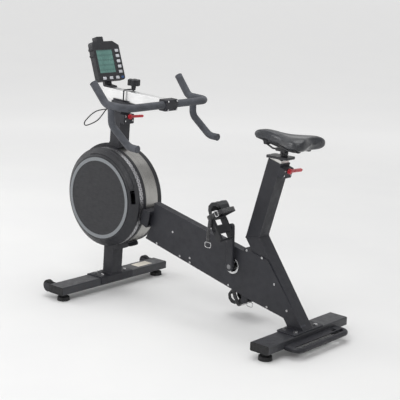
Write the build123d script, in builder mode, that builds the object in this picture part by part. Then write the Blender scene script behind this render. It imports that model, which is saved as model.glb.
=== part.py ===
from build123d import *
import os
from math import cos, pi, radians, sin, tan

# Fan-braked indoor bike. Origin: floor level, middle of the bounding box.
# +X points to the rear, +Y to the rider's right, +Z up. The belt side is -Y.

os.makedirs("parts", exist_ok=True)

# ---------------------------------------------------------------- driving dimensions, mm
FRONT_BAR_X = -492
FRONT_BAR_HALF = 325
REAR_BAR_X = 565.5
REAR_BAR_HALF = 260
BAR_DEPTH = 86
BAR_HEIGHT = 35
BAR_WALL = 3
CAP = 3
FRONT_BAR_BOTTOM = 30
REAR_BAR_BOTTOM = 32

DRUM_X = -462
DRUM_Z = 428
DRUM_RADIUS = 216
RING_RADIUS = 218
BAND_RADIUS = 215
BAND_HALF = 37.5
COVER_FACE_Y = -109
FAR_FACE_Y = 67

MAST_TILT = 2.7
MAST_DEPTH = 56
TUBE_HALF = 31
TUBE_WALL = 3
MAST_TOP = 370

SEAT_TILT = 15.7
LEG_TILT = 35.7
BEND_X = 331
BEND_Z = 394
SEAT_TUBE_TOP = 331

BEAM_TILT = 13.7
BEAM_DEPTH = 60
BEAM_NEAR_Y = 1
BEAM_FAR_Y = 31
CRADLE_RADIUS = 219
CRADLE_DEPTH = 43

CRANK_X = 241
CRANK_Z = 259
CRANK_LENGTH = 165
CRANK_Y = 55
PEDAL_Y = 115
LEFT_PITCH = 58
RIGHT_PITCH = -28

JACK_X = -22
JACK_Z = CRANK_Z + (CRANK_X - JACK_X) * tan(radians(BEAM_TILT))
FLYWHEEL_PULLEY = 16
JACK_LARGE = 24
JACK_SMALL = 15
CRANK_PULLEY = 70
OUTER_BELT_Y = -23
INNER_BELT_Y = -9
BELT_WIDTH = 12
BELT_THICK = 2.2
BELT_GAP = 0.3

CASE_FACE_Y = -35
CASE_WALL = 3
CASE_BACK_Y = -1

BEAM_TOP = 468
SLIDE_TALL = 47
SLIDE_WIDE = 40
SLIDE_FRONT = -99
SLIDE_REAR = 252
BAR_OUT = 274
BAR_UP = 447
GRIP_RADIUS = 16
DROP_RADIUS = 15

SADDLE_X = 442
WHEEL_X = -564
WHEEL_Z = 48
WHEEL_Y = 300
HANDLE_X = 669.5
HANDLE_Z = 38
HANDLE_RADIUS = 10.5

MONITOR_TILT = 18.6
MONITOR_X = -498.5
MONITOR_Z = 928
MONITOR_WIDE = 158
MONITOR_TALL = 174
MONITOR_THICK = 26
SHOULDER_SLOPE = 30
SHOULDER_CUT = 34

DRUM_AXIS = Axis((DRUM_X, 0, DRUM_Z), (0, 1, 0))


# ---------------------------------------------------------------- planes and shared shapes
def side_plane(y):
    """Side view at Y = y: local x is X, local y is Z, and extrusions run towards -Y."""
    return Plane.XZ.offset(-y)


def square_plane(x, z, tilt, along=0.0):
    """Plane square to a tube leaning back by tilt degrees; local x points to the rear."""
    lean = radians(tilt)
    x_dir = (cos(lean), 0, -sin(lean))
    z_dir = (sin(lean), 0, cos(lean))
    return Plane(origin=(x, 0, z), x_dir=x_dir, z_dir=z_dir).offset(along)


def mast_plane(along):
    return square_plane(DRUM_X, DRUM_Z, MAST_TILT, along)


def seat_plane(along):
    return square_plane(BEND_X, BEND_Z, SEAT_TILT, along)


def mast_point(out, along):
    """X and Z of a point 'out' behind the mast's axis and 'along' it above the drum axis."""
    lean = radians(MAST_TILT)
    x = DRUM_X + out * cos(lean) + along * sin(lean)
    z = DRUM_Z + along * cos(lean) - out * sin(lean)
    return (x, z)


def mast_side(y):
    """Side view at Y = y in the mast's own directions: x is 'out', y is 'along'."""
    lean = radians(MAST_TILT)
    return Plane(origin=(DRUM_X, y, DRUM_Z), x_dir=(cos(lean), 0, -sin(lean)), z_dir=(0, -1, 0))


def drum_section(angle=0.0):
    """Half section of the drum: local x is the radius at this angle, local y is Y."""
    turn = radians(angle)
    x_dir = (cos(turn), 0, sin(turn))
    return Plane(origin=(DRUM_X, 0, DRUM_Z), x_dir=x_dir, z_dir=(-sin(turn), 0, cos(turn)))


def save(piece, name):
    piece.part.label = name
    export_step(piece.part, f"parts/{name}.step")


def arc_band(r_in, r_out, middle, half, corner):
    """Side outline of a stretch of ring about the drum axis, with rounded ends."""
    with BuildSketch() as band:
        with BuildLine():
            outer = CenterArc((DRUM_X, DRUM_Z), r_out, middle - half, 2 * half)
            inner = CenterArc((DRUM_X, DRUM_Z), r_in, middle - half, 2 * half)
            Line(outer @ 0, inner @ 0)
            Line(outer @ 1, inner @ 1)
        make_face()
        fillet(band.vertices(), corner)
    return band.sketch


def belt_outline(start, start_radius, end, end_radius):
    """Convex outline round two pulleys."""
    with BuildSketch() as outline:
        with Locations(start):
            Circle(start_radius)
        with Locations(end):
            Circle(end_radius)
        make_hull()
    return outline.sketch


# ---------------------------------------------------------------- foot bars and feet
def foot_bar(x, bottom, half):
    section = side_plane(half - CAP)
    middle = bottom + BAR_HEIGHT / 2
    with BuildPart() as bar:
        with BuildSketch(section):
            with Locations((x, middle)):
                RectangleRounded(BAR_DEPTH, BAR_HEIGHT, 5)
                RectangleRounded(BAR_DEPTH - 2 * BAR_WALL, BAR_HEIGHT - 2 * BAR_WALL, 2.5,
                                 mode=Mode.SUBTRACT)
        extrude(amount=2 * (half - CAP))
    return bar


front_foot_bar = foot_bar(FRONT_BAR_X, FRONT_BAR_BOTTOM, FRONT_BAR_HALF)
save(front_foot_bar, "front_foot_bar")
rear_foot_bar = foot_bar(REAR_BAR_X, REAR_BAR_BOTTOM, REAR_BAR_HALF)
save(rear_foot_bar, "rear_foot_bar")

PAD_RADIUS = 27.5
PAD_NECK = 12
FRONT_PADS = [(FRONT_BAR_X + 11, -290), (FRONT_BAR_X + 11, 290)]
REAR_PADS = [(REAR_BAR_X + 6, -227), (REAR_BAR_X + 6, 227)]
with BuildPart() as feet_and_end_caps:
    for spots, bottom in ((FRONT_PADS, FRONT_BAR_BOTTOM), (REAR_PADS, REAR_BAR_BOTTOM)):
        with BuildSketch(Plane.XY):
            with Locations(*spots):
                Circle(PAD_RADIUS)
        extrude(amount=16, taper=6)
        with BuildSketch(Plane.XY.offset(16)):
            with Locations(*spots):
                Circle(PAD_NECK)
        extrude(amount=bottom - 16)
    for x, bottom, half in ((FRONT_BAR_X, FRONT_BAR_BOTTOM, FRONT_BAR_HALF),
                            (REAR_BAR_X, REAR_BAR_BOTTOM, REAR_BAR_HALF)):
        for y in (half, CAP - half):
            with BuildSketch(side_plane(y)):
                with Locations((x, bottom + BAR_HEIGHT / 2)):
                    RectangleRounded(BAR_DEPTH, BAR_HEIGHT, 5)
            extrude(amount=CAP)
save(feet_and_end_caps, "feet_and_end_caps")

CHEEK = 4
CHEEK_INNER = 14
WHEEL_RADIUS = 26
WHEEL_PIN = 4
BRACKET_FRONT = FRONT_BAR_X - BAR_DEPTH / 2
with BuildPart() as wheel_brackets:
    for side in (-1, 1):
        for y in (side * (WHEEL_Y + CHEEK_INNER + CHEEK / 2), side * (WHEEL_Y - CHEEK_INNER - CHEEK / 2)):
            with BuildSketch(side_plane(y + CHEEK / 2)):
                with Locations((WHEEL_X, WHEEL_Z)):
                    Circle(15)
                with Locations(((WHEEL_X + BRACKET_FRONT) / 2, WHEEL_Z)):
                    Rectangle(BRACKET_FRONT - WHEEL_X, 30)
            extrude(amount=CHEEK)
        with BuildSketch(side_plane(side * WHEEL_Y + CHEEK_INNER + CHEEK)):
            with Locations((BRACKET_FRONT - 1, WHEEL_Z)):
                Rectangle(2, 30)
        extrude(amount=2 * (CHEEK_INNER + CHEEK))
        with BuildSketch(side_plane(side * WHEEL_Y + CHEEK_INNER + CHEEK)):
            with Locations((WHEEL_X, WHEEL_Z)):
                Circle(WHEEL_PIN)
        extrude(amount=2 * (CHEEK_INNER + CHEEK))
save(wheel_brackets, "wheel_brackets")

for side, name in ((-1, "left_wheel"), (1, "right_wheel")):
    with BuildPart() as wheel:
        with BuildSketch(side_plane(side * WHEEL_Y + 11)):
            with Locations((WHEEL_X, WHEEL_Z)):
                Circle(WHEEL_RADIUS)
                Circle(WHEEL_PIN + 0.06, mode=Mode.SUBTRACT)
        extrude(amount=22)
        rims = wheel.edges().filter_by(GeomType.CIRCLE).sort_by(SortBy.RADIUS)[-2:]
        fillet(rims, 4)
    save(wheel, name)

# ---------------------------------------------------------------- mast
SADDLE_GAP = 0.1
SADDLE_FLOOR = 5


def mast_half(middle, half, r_out, low, high):
    """Mast tube with the bent channel that hugs the drum at one end."""
    with BuildPart() as mast:
        with BuildSketch(side_plane(TUBE_HALF)):
            add(arc_band(BAND_RADIUS + SADDLE_GAP, r_out, middle, half, 8))
        extrude(amount=2 * TUBE_HALF)
        with BuildSketch(side_plane(TUBE_HALF - TUBE_WALL)):
            add(arc_band(BAND_RADIUS + SADDLE_FLOOR, r_out + 20, middle, half + 8, 4))
        extrude(amount=2 * (TUBE_HALF - TUBE_WALL), mode=Mode.SUBTRACT)
        with BuildSketch(mast_plane(low)):
            Rectangle(MAST_DEPTH, 2 * TUBE_HALF)
            Rectangle(MAST_DEPTH - 2 * TUBE_WALL, 2 * (TUBE_HALF - TUBE_WALL), mode=Mode.SUBTRACT)
        extrude(amount=high - low)
    return mast.part


SLEEVE_HALF = 97
FRONT_BAR_TOP = FRONT_BAR_BOTTOM + BAR_HEIGHT
lower_tube = mast_half(-90 - MAST_TILT, 31, 238, -366, -BAND_RADIUS - 3)
with BuildPart() as lower_mast:
    add(lower_tube)
    split(bisect_by=Plane.XY.offset(FRONT_BAR_TOP), keep=Keep.TOP)
    with BuildSketch(side_plane(SLEEVE_HALF)):
        with Locations((FRONT_BAR_X, FRONT_BAR_TOP - 13)):
            RectangleRounded(BAR_DEPTH + 8, 34, 6)
        with Locations((FRONT_BAR_X, FRONT_BAR_TOP - BAR_HEIGHT / 2)):
            RectangleRounded(BAR_DEPTH, BAR_HEIGHT, 5, mode=Mode.SUBTRACT)
        with Locations((FRONT_BAR_X, FRONT_BAR_BOTTOM)):
            Rectangle(BAR_DEPTH, BAR_HEIGHT, mode=Mode.SUBTRACT)
    extrude(amount=2 * SLEEVE_HALF)
save(lower_mast, "lower_mast")

upper_tube = mast_half(108, 26, 233, BAND_RADIUS + 3, MAST_TOP)
with BuildPart() as upper_mast:
    add(upper_tube)
save(upper_mast, "upper_mast")

HUB_TUBE = 27
HUB_NEAR_Y = -8
HUB_FAR_Y = 34
BEARING_OUTER = 17.5
SHAFT_RADIUS = 8.45
with BuildPart() as hub_plate:
    with BuildSketch(mast_side(18)):
        Rectangle(50, 2 * BAND_RADIUS)
    extrude(amount=10)
    with BuildSketch(mast_side(HUB_FAR_Y)):
        for end in (-1, 1):
            with Locations((0, end * (BAND_RADIUS - 8))):
                Rectangle(50, 10)
    extrude(amount=HUB_FAR_Y - HUB_NEAR_Y)
    with BuildSketch(side_plane(HUB_FAR_Y)):
        with Locations((DRUM_X, DRUM_Z)):
            Circle(HUB_TUBE)
    extrude(amount=HUB_FAR_Y - HUB_NEAR_Y)
    with BuildSketch(side_plane(HUB_FAR_Y)):
        with Locations((DRUM_X, DRUM_Z)):
            Circle(BAND_RADIUS - 3.1)
    extrude(amount=HUB_FAR_Y - HUB_NEAR_Y, mode=Mode.INTERSECT)
    for y, depth, radius in ((HUB_FAR_Y, 10, BEARING_OUTER), (HUB_FAR_Y, 42, 14),
                             (HUB_NEAR_Y + 10, 10, BEARING_OUTER)):
        with BuildSketch(side_plane(y)):
            with Locations((DRUM_X, DRUM_Z)):
                Circle(radius)
        extrude(amount=depth, mode=Mode.SUBTRACT)
save(hub_plate, "hub_plate")


# ---------------------------------------------------------------- rear frame
def leg_plane(along):
    """Plane square to the rear leg; positive 'along' runs down the leg."""
    lean = radians(LEG_TILT)
    down = (sin(lean), 0, -cos(lean))
    return Plane(origin=(BEND_X, 0, BEND_Z), x_dir=(cos(lean), 0, sin(lean)), z_dir=down).offset(along)


HALF_BEND = radians((LEG_TILT - SEAT_TILT) / 2)
MITRE = Plane(origin=(BEND_X, 0, BEND_Z), x_dir=(0, 1, 0), z_dir=(-sin(HALF_BEND), 0, cos(HALF_BEND)))
REAR_BAR_TOP = REAR_BAR_BOTTOM + BAR_HEIGHT
BASE_THICK = 5

with BuildPart() as seat_tube:
    with BuildSketch(seat_plane(-40)):
        Rectangle(2 * TUBE_HALF, 2 * TUBE_HALF)
        Rectangle(2 * (TUBE_HALF - TUBE_WALL), 2 * (TUBE_HALF - TUBE_WALL), mode=Mode.SUBTRACT)
    extrude(amount=SEAT_TUBE_TOP + 40)
    split(bisect_by=MITRE, keep=Keep.TOP)
save(seat_tube, "seat_tube")

with BuildPart() as rear_leg:
    with BuildSketch(leg_plane(-40)):
        Rectangle(2 * TUBE_HALF, 2 * TUBE_HALF)
        Rectangle(2 * (TUBE_HALF - TUBE_WALL), 2 * (TUBE_HALF - TUBE_WALL), mode=Mode.SUBTRACT)
    extrude(amount=480)
    split(bisect_by=MITRE, keep=Keep.BOTTOM)
    split(bisect_by=Plane.XY.offset(REAR_BAR_TOP), keep=Keep.TOP)
    with BuildSketch(Plane.XY.offset(REAR_BAR_TOP)):
        with Locations((REAR_BAR_X - 2, 0)):
            RectangleRounded(90, 192, 8)
    extrude(amount=BASE_THICK)
save(rear_leg, "rear_leg")


def tube_shadow(clearance):
    """Side outline of the seat tube and the rear leg, grown by a clearance."""
    with BuildSketch() as shadow:
        for tilt, length in ((SEAT_TILT, 400), (180 - LEG_TILT, 470)):
            lean = radians(tilt)
            x = BEND_X + sin(lean) * length / 2
            z = BEND_Z + cos(lean) * length / 2
            with Locations(Location((x, z), -tilt)):
                Rectangle(2 * (TUBE_HALF + clearance), length + 2 * TUBE_HALF)
    return shadow.sketch


CASE_TOP_FRONT = (-200, 440.2)
CASE_STEP_LOW = (294, 330.5)
CASE_STEP_HIGH = (297, 344)
CASE_REAR_TOP = (417, 316)
CASE_REAR_KNEE = (508, 198)
CASE_HEEL = (592, 85)
CASE_TOE = (532, 82)
CASE_ANKLE = (514, 102)
CASE_LOW_REAR = (353, 134)
CASE_LOW_FRONT = (-246, 277.5)
CASE_FRONT = (DRUM_X + 253.3, DRUM_Z - 70.7)


def case_outline():
    """Side outline of the belt case; its front edge follows the drum."""
    with BuildSketch() as outline:
        with BuildLine():
            Polyline(CASE_TOP_FRONT, CASE_STEP_LOW, CASE_STEP_HIGH, CASE_REAR_TOP, CASE_REAR_KNEE,
                     CASE_HEEL, CASE_TOE, CASE_ANKLE, CASE_LOW_REAR, CASE_LOW_FRONT)
            ThreePointArc(CASE_LOW_FRONT, CASE_FRONT, CASE_TOP_FRONT)
        make_face()
    return outline.sketch


case_face = case_outline()
belt_window = belt_outline((DRUM_X, DRUM_Z), FLYWHEEL_PULLEY + 6, (JACK_X, JACK_Z), JACK_LARGE + 6)
CRADLE_NEAR_Y = -60
CRADLE_TOP = -5.0
CRADLE_SWEEP = 16.5
SHELL_RADIUS = 26
CRANK_BEARING = 21
JACK_BEARING = 14
LEG_LEAN = radians(LEG_TILT)
LEG_FRONT = Plane(origin=(BEND_X - TUBE_HALF * cos(LEG_LEAN), 0, BEND_Z - TUBE_HALF * sin(LEG_LEAN)),
                  x_dir=(0, 1, 0), z_dir=(-cos(LEG_LEAN), 0, -sin(LEG_LEAN)))
WINDOW_X = DRUM_X + CRADLE_RADIUS + CRADLE_DEPTH / 2 - 8
WINDOW_Z = CRANK_Z + (CRANK_X - WINDOW_X) * tan(radians(BEAM_TILT)) - 2
with BuildPart() as main_beam:
    beam_plane = Plane(origin=(CRANK_X, BEAM_FAR_Y, CRANK_Z), x_dir=(cos(radians(BEAM_TILT)), 0,
                       -sin(radians(BEAM_TILT))), z_dir=(0, -1, 0))
    with BuildSketch(beam_plane):
        with Locations((-120, 0)):
            Rectangle(800, BEAM_DEPTH)
    extrude(amount=BEAM_FAR_Y - BEAM_NEAR_Y)
    with BuildSketch(beam_plane.offset(TUBE_WALL)):
        with Locations((-120, 0)):
            Rectangle(800, BEAM_DEPTH - 2 * TUBE_WALL)
    extrude(amount=BEAM_FAR_Y - BEAM_NEAR_Y - 2 * TUBE_WALL, mode=Mode.SUBTRACT)
    split(bisect_by=LEG_FRONT, keep=Keep.TOP)
    with BuildSketch(side_plane(BEAM_FAR_Y)):
        with Locations((DRUM_X, DRUM_Z)):
            Circle(CRADLE_RADIUS + CRADLE_DEPTH - 2)
    extrude(amount=BEAM_FAR_Y - BEAM_NEAR_Y, mode=Mode.SUBTRACT)
    # back plate of the belt case, welded to the beam
    with BuildSketch(side_plane(BEAM_NEAR_Y)):
        add(case_face)
    extrude(amount=BEAM_NEAR_Y - CASE_BACK_Y)
    with BuildSketch(side_plane(BEAM_NEAR_Y)):
        add(tube_shadow(0.2))
        with Locations((CASE_TOE[0] + 30, CASE_TOE[1])):
            Rectangle(120, 60)
    extrude(amount=BEAM_NEAR_Y - CASE_BACK_Y, mode=Mode.SUBTRACT)
    # cradle behind the drum, with a window for the belt and two lightening pockets
    with BuildSketch(side_plane(FAR_FACE_Y)):
        add(arc_band(CRADLE_RADIUS, CRADLE_RADIUS + CRADLE_DEPTH, CRADLE_TOP - CRADLE_SWEEP / 2,
                     CRADLE_SWEEP / 2, 3))
    extrude(amount=FAR_FACE_Y - CRADLE_NEAR_Y)
    with BuildSketch(side_plane(CASE_BACK_Y)):
        add(belt_window)
    extrude(amount=32, mode=Mode.SUBTRACT)
    for y, width in ((CRADLE_NEAR_Y + 23, 19), (FAR_FACE_Y - 4, 28)):
        pocket = Plane(origin=(WINDOW_X, y, WINDOW_Z), x_dir=beam_plane.x_dir, z_dir=(0, -1, 0))
        with BuildSketch(pocket):
            with Locations((46, 0)):
                Rectangle(80, 51)
        extrude(amount=width, mode=Mode.SUBTRACT)
    # bearing shells
    for x, z, radius in ((CRANK_X, CRANK_Z, SHELL_RADIUS), (JACK_X, JACK_Z, JACK_BEARING + 4)):
        with BuildSketch(side_plane(BEAM_FAR_Y + 1)):
            with Locations((x, z)):
                Circle(radius)
        extrude(amount=BEAM_FAR_Y + 1 - BEAM_NEAR_Y)
    for x, z, bearing, width in ((CRANK_X, CRANK_Z, CRANK_BEARING, 12), (JACK_X, JACK_Z, JACK_BEARING, 8)):
        for y, depth, radius in ((BEAM_FAR_Y + 1, 40, bearing - 3), (BEAM_FAR_Y + 1, width, bearing),
                                 (CASE_BACK_Y + width, width + 2, bearing)):
            with BuildSketch(side_plane(y)):
                with Locations((x, z)):
                    Circle(radius)
            extrude(amount=depth, mode=Mode.SUBTRACT)
save(main_beam, "main_beam")

RIM_WIDTH = 3
CRANK_HOLE = 24
with BuildPart() as belt_case:
    with BuildSketch(side_plane(CASE_BACK_Y)):
        add(case_face)
        offset(case_face, amount=-RIM_WIDTH, mode=Mode.SUBTRACT)
        add(tube_shadow(0.5), mode=Mode.SUBTRACT)
        add(belt_window, mode=Mode.SUBTRACT)
    extrude(amount=CASE_BACK_Y - CASE_FACE_Y - CASE_WALL)
    with BuildSketch(side_plane(CASE_FACE_Y + CASE_WALL)):
        add(case_face)
        with Locations((CRANK_X, CRANK_Z)):
            Circle(CRANK_HOLE, mode=Mode.SUBTRACT)
    extrude(amount=CASE_WALL)
save(belt_case, "belt_case")

with BuildPart() as crank_trim_ring:
    with BuildSketch(side_plane(CASE_FACE_Y)):
        with Locations((CRANK_X, CRANK_Z)):
            Circle(33)
            Circle(CRANK_HOLE, mode=Mode.SUBTRACT)
    extrude(amount=5)
    fillet(crank_trim_ring.edges().filter_by(GeomType.CIRCLE).group_by(Axis.Y)[0], 1.5)
save(crank_trim_ring, "crank_trim_ring")

CASE_SCREWS = [(-177, 268), (-88, 335), (-44, 240), (12, 243), (13, 224), (224, 174), (310, 337),
               (387, 322), (454, 229), (423, 129), (521, 137)]
with BuildPart() as case_screws:
    with BuildSketch(side_plane(CASE_FACE_Y)):
        with Locations(*CASE_SCREWS):
            Circle(4.5)
            RegularPolygon(2, 6, mode=Mode.SUBTRACT)
    extrude(amount=2.2)
save(case_screws, "case_screws")

BASE_BOLTS = [(FRONT_BAR_X + x, y) for x in (-22, 22) for y in (-68, 68)]
REAR_BOLTS = [(REAR_BAR_X + x, y) for x in (-28, 24) for y in (-66, 66)]
with BuildPart() as base_bolts:
    for spots, height in ((BASE_BOLTS, FRONT_BAR_TOP + 4), (REAR_BOLTS, REAR_BAR_TOP + BASE_THICK)):
        with BuildSketch(Plane.XY.offset(height)):
            with Locations(*spots):
                Circle(9)
        extrude(amount=1.5)
        with BuildSketch(Plane.XY.offset(height + 1.5)):
            with Locations(*spots):
                RegularPolygon(7.5, 6, major_radius=False)
        extrude(amount=5)
save(base_bolts, "base_bolts")

STEP_TOP = 48
with BuildPart() as lift_handle:
    front = REAR_BAR_X + BAR_DEPTH / 2
    with BuildLine() as loop:
        FilletPolyline((front, -150, HANDLE_Z), (HANDLE_X, -150, HANDLE_Z), (HANDLE_X, 180, HANDLE_Z),
                       (front, 180, HANDLE_Z), radius=30)
    with BuildSketch(Plane(origin=loop.line @ 0, z_dir=loop.line % 0)):
        Circle(HANDLE_RADIUS)
    sweep()
    with BuildSketch(Plane.XY.offset(STEP_TOP - 4)):
        with Locations(((front + HANDLE_X - 24) / 2, 15)):
            Rectangle(HANDLE_X - 24 - front, 326)
        with Locations((front + 20, 131)):
            RectangleRounded(22, 28, 4, mode=Mode.SUBTRACT)
    extrude(amount=4)
save(lift_handle, "lift_handle")

# ---------------------------------------------------------------- drum
def drum_ring(profile, angle=0.0, sweep_angle=360.0):
    """Ring turned about the drum axis from (radius, Y) points."""
    with BuildPart() as ring:
        with BuildSketch(drum_section(angle)):
            with BuildLine():
                Polyline(*profile, close=True)
            make_face()
        revolve(axis=DRUM_AXIS, revolution_arc=sweep_angle)
    return ring.part


SHEET = 3
RIM_START_Y = -73
MESH_REAR_Y = -50
SLOPE_RADIUS = 184
SLOPE_START_Y = -82
with BuildPart() as drum_band:
    with BuildSketch(side_plane(BAND_HALF)):
        with Locations((DRUM_X, DRUM_Z)):
            Circle(BAND_RADIUS)
            Circle(BAND_RADIUS - SHEET, mode=Mode.SUBTRACT)
    extrude(amount=2 * BAND_HALF)
    with BuildSketch(side_plane(OUTER_BELT_Y + 9)):
        add(belt_window)
    extrude(amount=18, mode=Mode.SUBTRACT)
save(drum_band, "drum_band")

far_profile = [(0, FAR_FACE_Y), (208, FAR_FACE_Y), (DRUM_RADIUS, FAR_FACE_Y - 8), (DRUM_RADIUS, BAND_HALF),
               (DRUM_RADIUS - SHEET, BAND_HALF), (DRUM_RADIUS - SHEET, FAR_FACE_Y - 9.2),
               (206.8, FAR_FACE_Y - SHEET), (0, FAR_FACE_Y - SHEET)]
with BuildPart() as far_cover:
    add(drum_ring(far_profile))
save(far_cover, "far_cover")

MESH_ROWS = (-68, -61.5, -55)
MESH_HOLES = 72
MESH_HOLE = 2.6
MESH_RADIUS = DRUM_RADIUS - 1
with BuildPart() as vent_mesh:
    with BuildSketch(side_plane(MESH_REAR_Y)):
        with Locations((DRUM_X, DRUM_Z)):
            Circle(MESH_RADIUS)
            Circle(MESH_RADIUS - 1.2, mode=Mode.SUBTRACT)
    extrude(amount=MESH_REAR_Y - RIM_START_Y)
    for row, y in enumerate(MESH_ROWS):
        for step in range(MESH_HOLES):
            angle = 360 / MESH_HOLES * (step + row % 2 / 2)
            radial = drum_section(angle)
            hole = Plane(origin=radial.origin + radial.x_dir * (MESH_RADIUS - 4) + Vector(0, y, 0),
                         x_dir=(0, 1, 0), z_dir=radial.x_dir)
            with BuildSketch(hole):
                Circle(MESH_HOLE)
    extrude(amount=8, mode=Mode.SUBTRACT)
save(vent_mesh, "vent_mesh")

cover_profile = [(30, COVER_FACE_Y), (SLOPE_RADIUS, COVER_FACE_Y), (DRUM_RADIUS, SLOPE_START_Y),
                 (DRUM_RADIUS, RIM_START_Y), (DRUM_RADIUS - SHEET, RIM_START_Y),
                 (DRUM_RADIUS - SHEET, SLOPE_START_Y + 1.3), (SLOPE_RADIUS - 1.2, COVER_FACE_Y + SHEET),
                 (30, COVER_FACE_Y + SHEET)]
ring_profile = [(RING_RADIUS, MESH_REAR_Y), (RING_RADIUS, -BAND_HALF), (DRUM_RADIUS - 5, -BAND_HALF),
                (DRUM_RADIUS - 5, MESH_REAR_Y)]
POST_ANGLES = (-160, -95, -40, 19, 83, 140)
POST_MIDDLE = DRUM_RADIUS - 6.7
VENT_START = 18
VENT_SWEEP = 17
SLOPE_ANGLE = 40.2
vent_profile = [(190, -112), (206, -98), (206, -80), (190, -94)]
with BuildPart() as near_cover:
    add(drum_ring(cover_profile))
    add(drum_ring(ring_profile))
    for angle in POST_ANGLES:
        radial = drum_section(angle)
        foot = radial.origin + radial.x_dir * POST_MIDDLE + Vector(0, RIM_START_Y - 2, 0)
        post = Plane(origin=foot,
                     x_dir=radial.z_dir, z_dir=(0, 1, 0))
        with BuildSketch(post):
            Rectangle(14, 8)
        extrude(amount=MESH_REAR_Y - RIM_START_Y + 4)
    add(drum_ring(vent_profile, VENT_START, VENT_SWEEP), mode=Mode.SUBTRACT)
save(near_cover, "near_cover")


def slope_point(along, out):
    """Radius and Y of a point on the near cover's slope, 'out' above its surface."""
    lean = radians(SLOPE_ANGLE)
    return (SLOPE_RADIUS + along * cos(lean) + out * sin(lean),
            COVER_FACE_Y + along * sin(lean) - out * cos(lean))


slider_profile = [slope_point(8, 0.35), slope_point(30, 0.35), slope_point(28, 5), slope_point(10, 5)]
SLIDER_START = 108
SLIDER_SWEEP = 88
with BuildPart() as damper_slider:
    add(drum_ring(slider_profile, SLIDER_START, SLIDER_SWEEP))
save(damper_slider, "damper_slider")

with BuildPart() as centre_disc:
    with BuildSketch(side_plane(COVER_FACE_Y)):
        with Locations((DRUM_X, DRUM_Z)):
            Circle(178)
    extrude(amount=2)
    with BuildSketch(side_plane(COVER_FACE_Y - 2)):
        with Locations((DRUM_X, DRUM_Z)):
            Circle(178)
            Circle(163, mode=Mode.SUBTRACT)
    extrude(amount=1.2)
save(centre_disc, "centre_disc")

# ---------------------------------------------------------------- flywheel and drive train
FAN_RADIUS = 195
FAN_BLADES = 24
with BuildPart() as fan_wheel:
    with BuildSketch(side_plane(-45)):
        with Locations((DRUM_X, DRUM_Z)):
            Circle(FAN_RADIUS)
    extrude(amount=6)
    with BuildSketch(side_plane(-51)):
        with Locations((DRUM_X, DRUM_Z)):
            Circle(32)
            with PolarLocations(150, FAN_BLADES):
                Rectangle(78, 2.5)
    extrude(amount=45)
    with BuildSketch(side_plane(-45)):
        with Locations((DRUM_X, DRUM_Z)):
            Circle(SHAFT_RADIUS)
    extrude(amount=60, mode=Mode.SUBTRACT)
save(fan_wheel, "fan_wheel")


def turned(x, z, steps):
    """Shaft turned about a Y axis from (y_start, y_end, radius) steps."""
    with BuildPart() as shaft:
        for y_start, y_end, radius in steps:
            with BuildSketch(side_plane(y_end)):
                with Locations((x, z)):
                    Circle(radius)
            extrude(amount=y_end - y_start)
    return shaft


flywheel_shaft = turned(DRUM_X, DRUM_Z, [(-100, HUB_FAR_Y + 2, SHAFT_RADIUS), (-30, -16, FLYWHEEL_PULLEY)])
save(flywheel_shaft, "flywheel_shaft")
jackshaft = turned(JACK_X, JACK_Z, [(-31, BEAM_FAR_Y, 5.95), (-30, -16, JACK_LARGE), (-16, -3, JACK_SMALL)])
save(jackshaft, "jackshaft")
SPINDLE_END = 61
crank_spindle = turned(CRANK_X, CRANK_Z, [(-SPINDLE_END, SPINDLE_END, 9.95), (-16, -3, CRANK_PULLEY)])
save(crank_spindle, "crank_spindle")

BEARINGS = [(DRUM_X, DRUM_Z, HUB_FAR_Y, 10, BEARING_OUTER, 8.5), (DRUM_X, DRUM_Z, HUB_NEAR_Y + 10, 10,
            BEARING_OUTER, 8.5), (JACK_X, JACK_Z, BEAM_FAR_Y + 1, 8, JACK_BEARING, 6),
            (JACK_X, JACK_Z, CASE_BACK_Y + 8, 8, JACK_BEARING, 6),
            (CRANK_X, CRANK_Z, BEAM_FAR_Y + 1, 12, CRANK_BEARING, 10),
            (CRANK_X, CRANK_Z, CASE_BACK_Y + 12, 12, CRANK_BEARING, 10)]
with BuildPart() as shaft_bearings:
    for x, z, y, width, outer, inner in BEARINGS:
        with BuildSketch(side_plane(y)):
            with Locations((x, z)):
                Circle(outer)
                Circle(inner, mode=Mode.SUBTRACT)
        extrude(amount=width)
save(shaft_bearings, "shaft_bearings")

BELTS = [((DRUM_X, DRUM_Z), FLYWHEEL_PULLEY, (JACK_X, JACK_Z), JACK_LARGE, OUTER_BELT_Y),
         ((JACK_X, JACK_Z), JACK_SMALL, (CRANK_X, CRANK_Z), CRANK_PULLEY, INNER_BELT_Y)]
with BuildPart() as drive_belts:
    for start, start_radius, end, end_radius, y in BELTS:
        inside = belt_outline(start, start_radius + BELT_GAP, end, end_radius + BELT_GAP)
        outside = belt_outline(start, start_radius + BELT_GAP + BELT_THICK,
                               end, end_radius + BELT_GAP + BELT_THICK)
        with BuildSketch(side_plane(y + BELT_WIDTH / 2)):
            add(outside)
            add(inside, mode=Mode.SUBTRACT)
        extrude(amount=BELT_WIDTH)
save(drive_belts, "drive_belts")

# ---------------------------------------------------------------- cranks and pedals
ARM_THICK = 14
PEDAL_AXLE = 7
PEDAL_LONG = 96
PEDAL_WIDE = 84
PEDAL_THICK = 24


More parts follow.
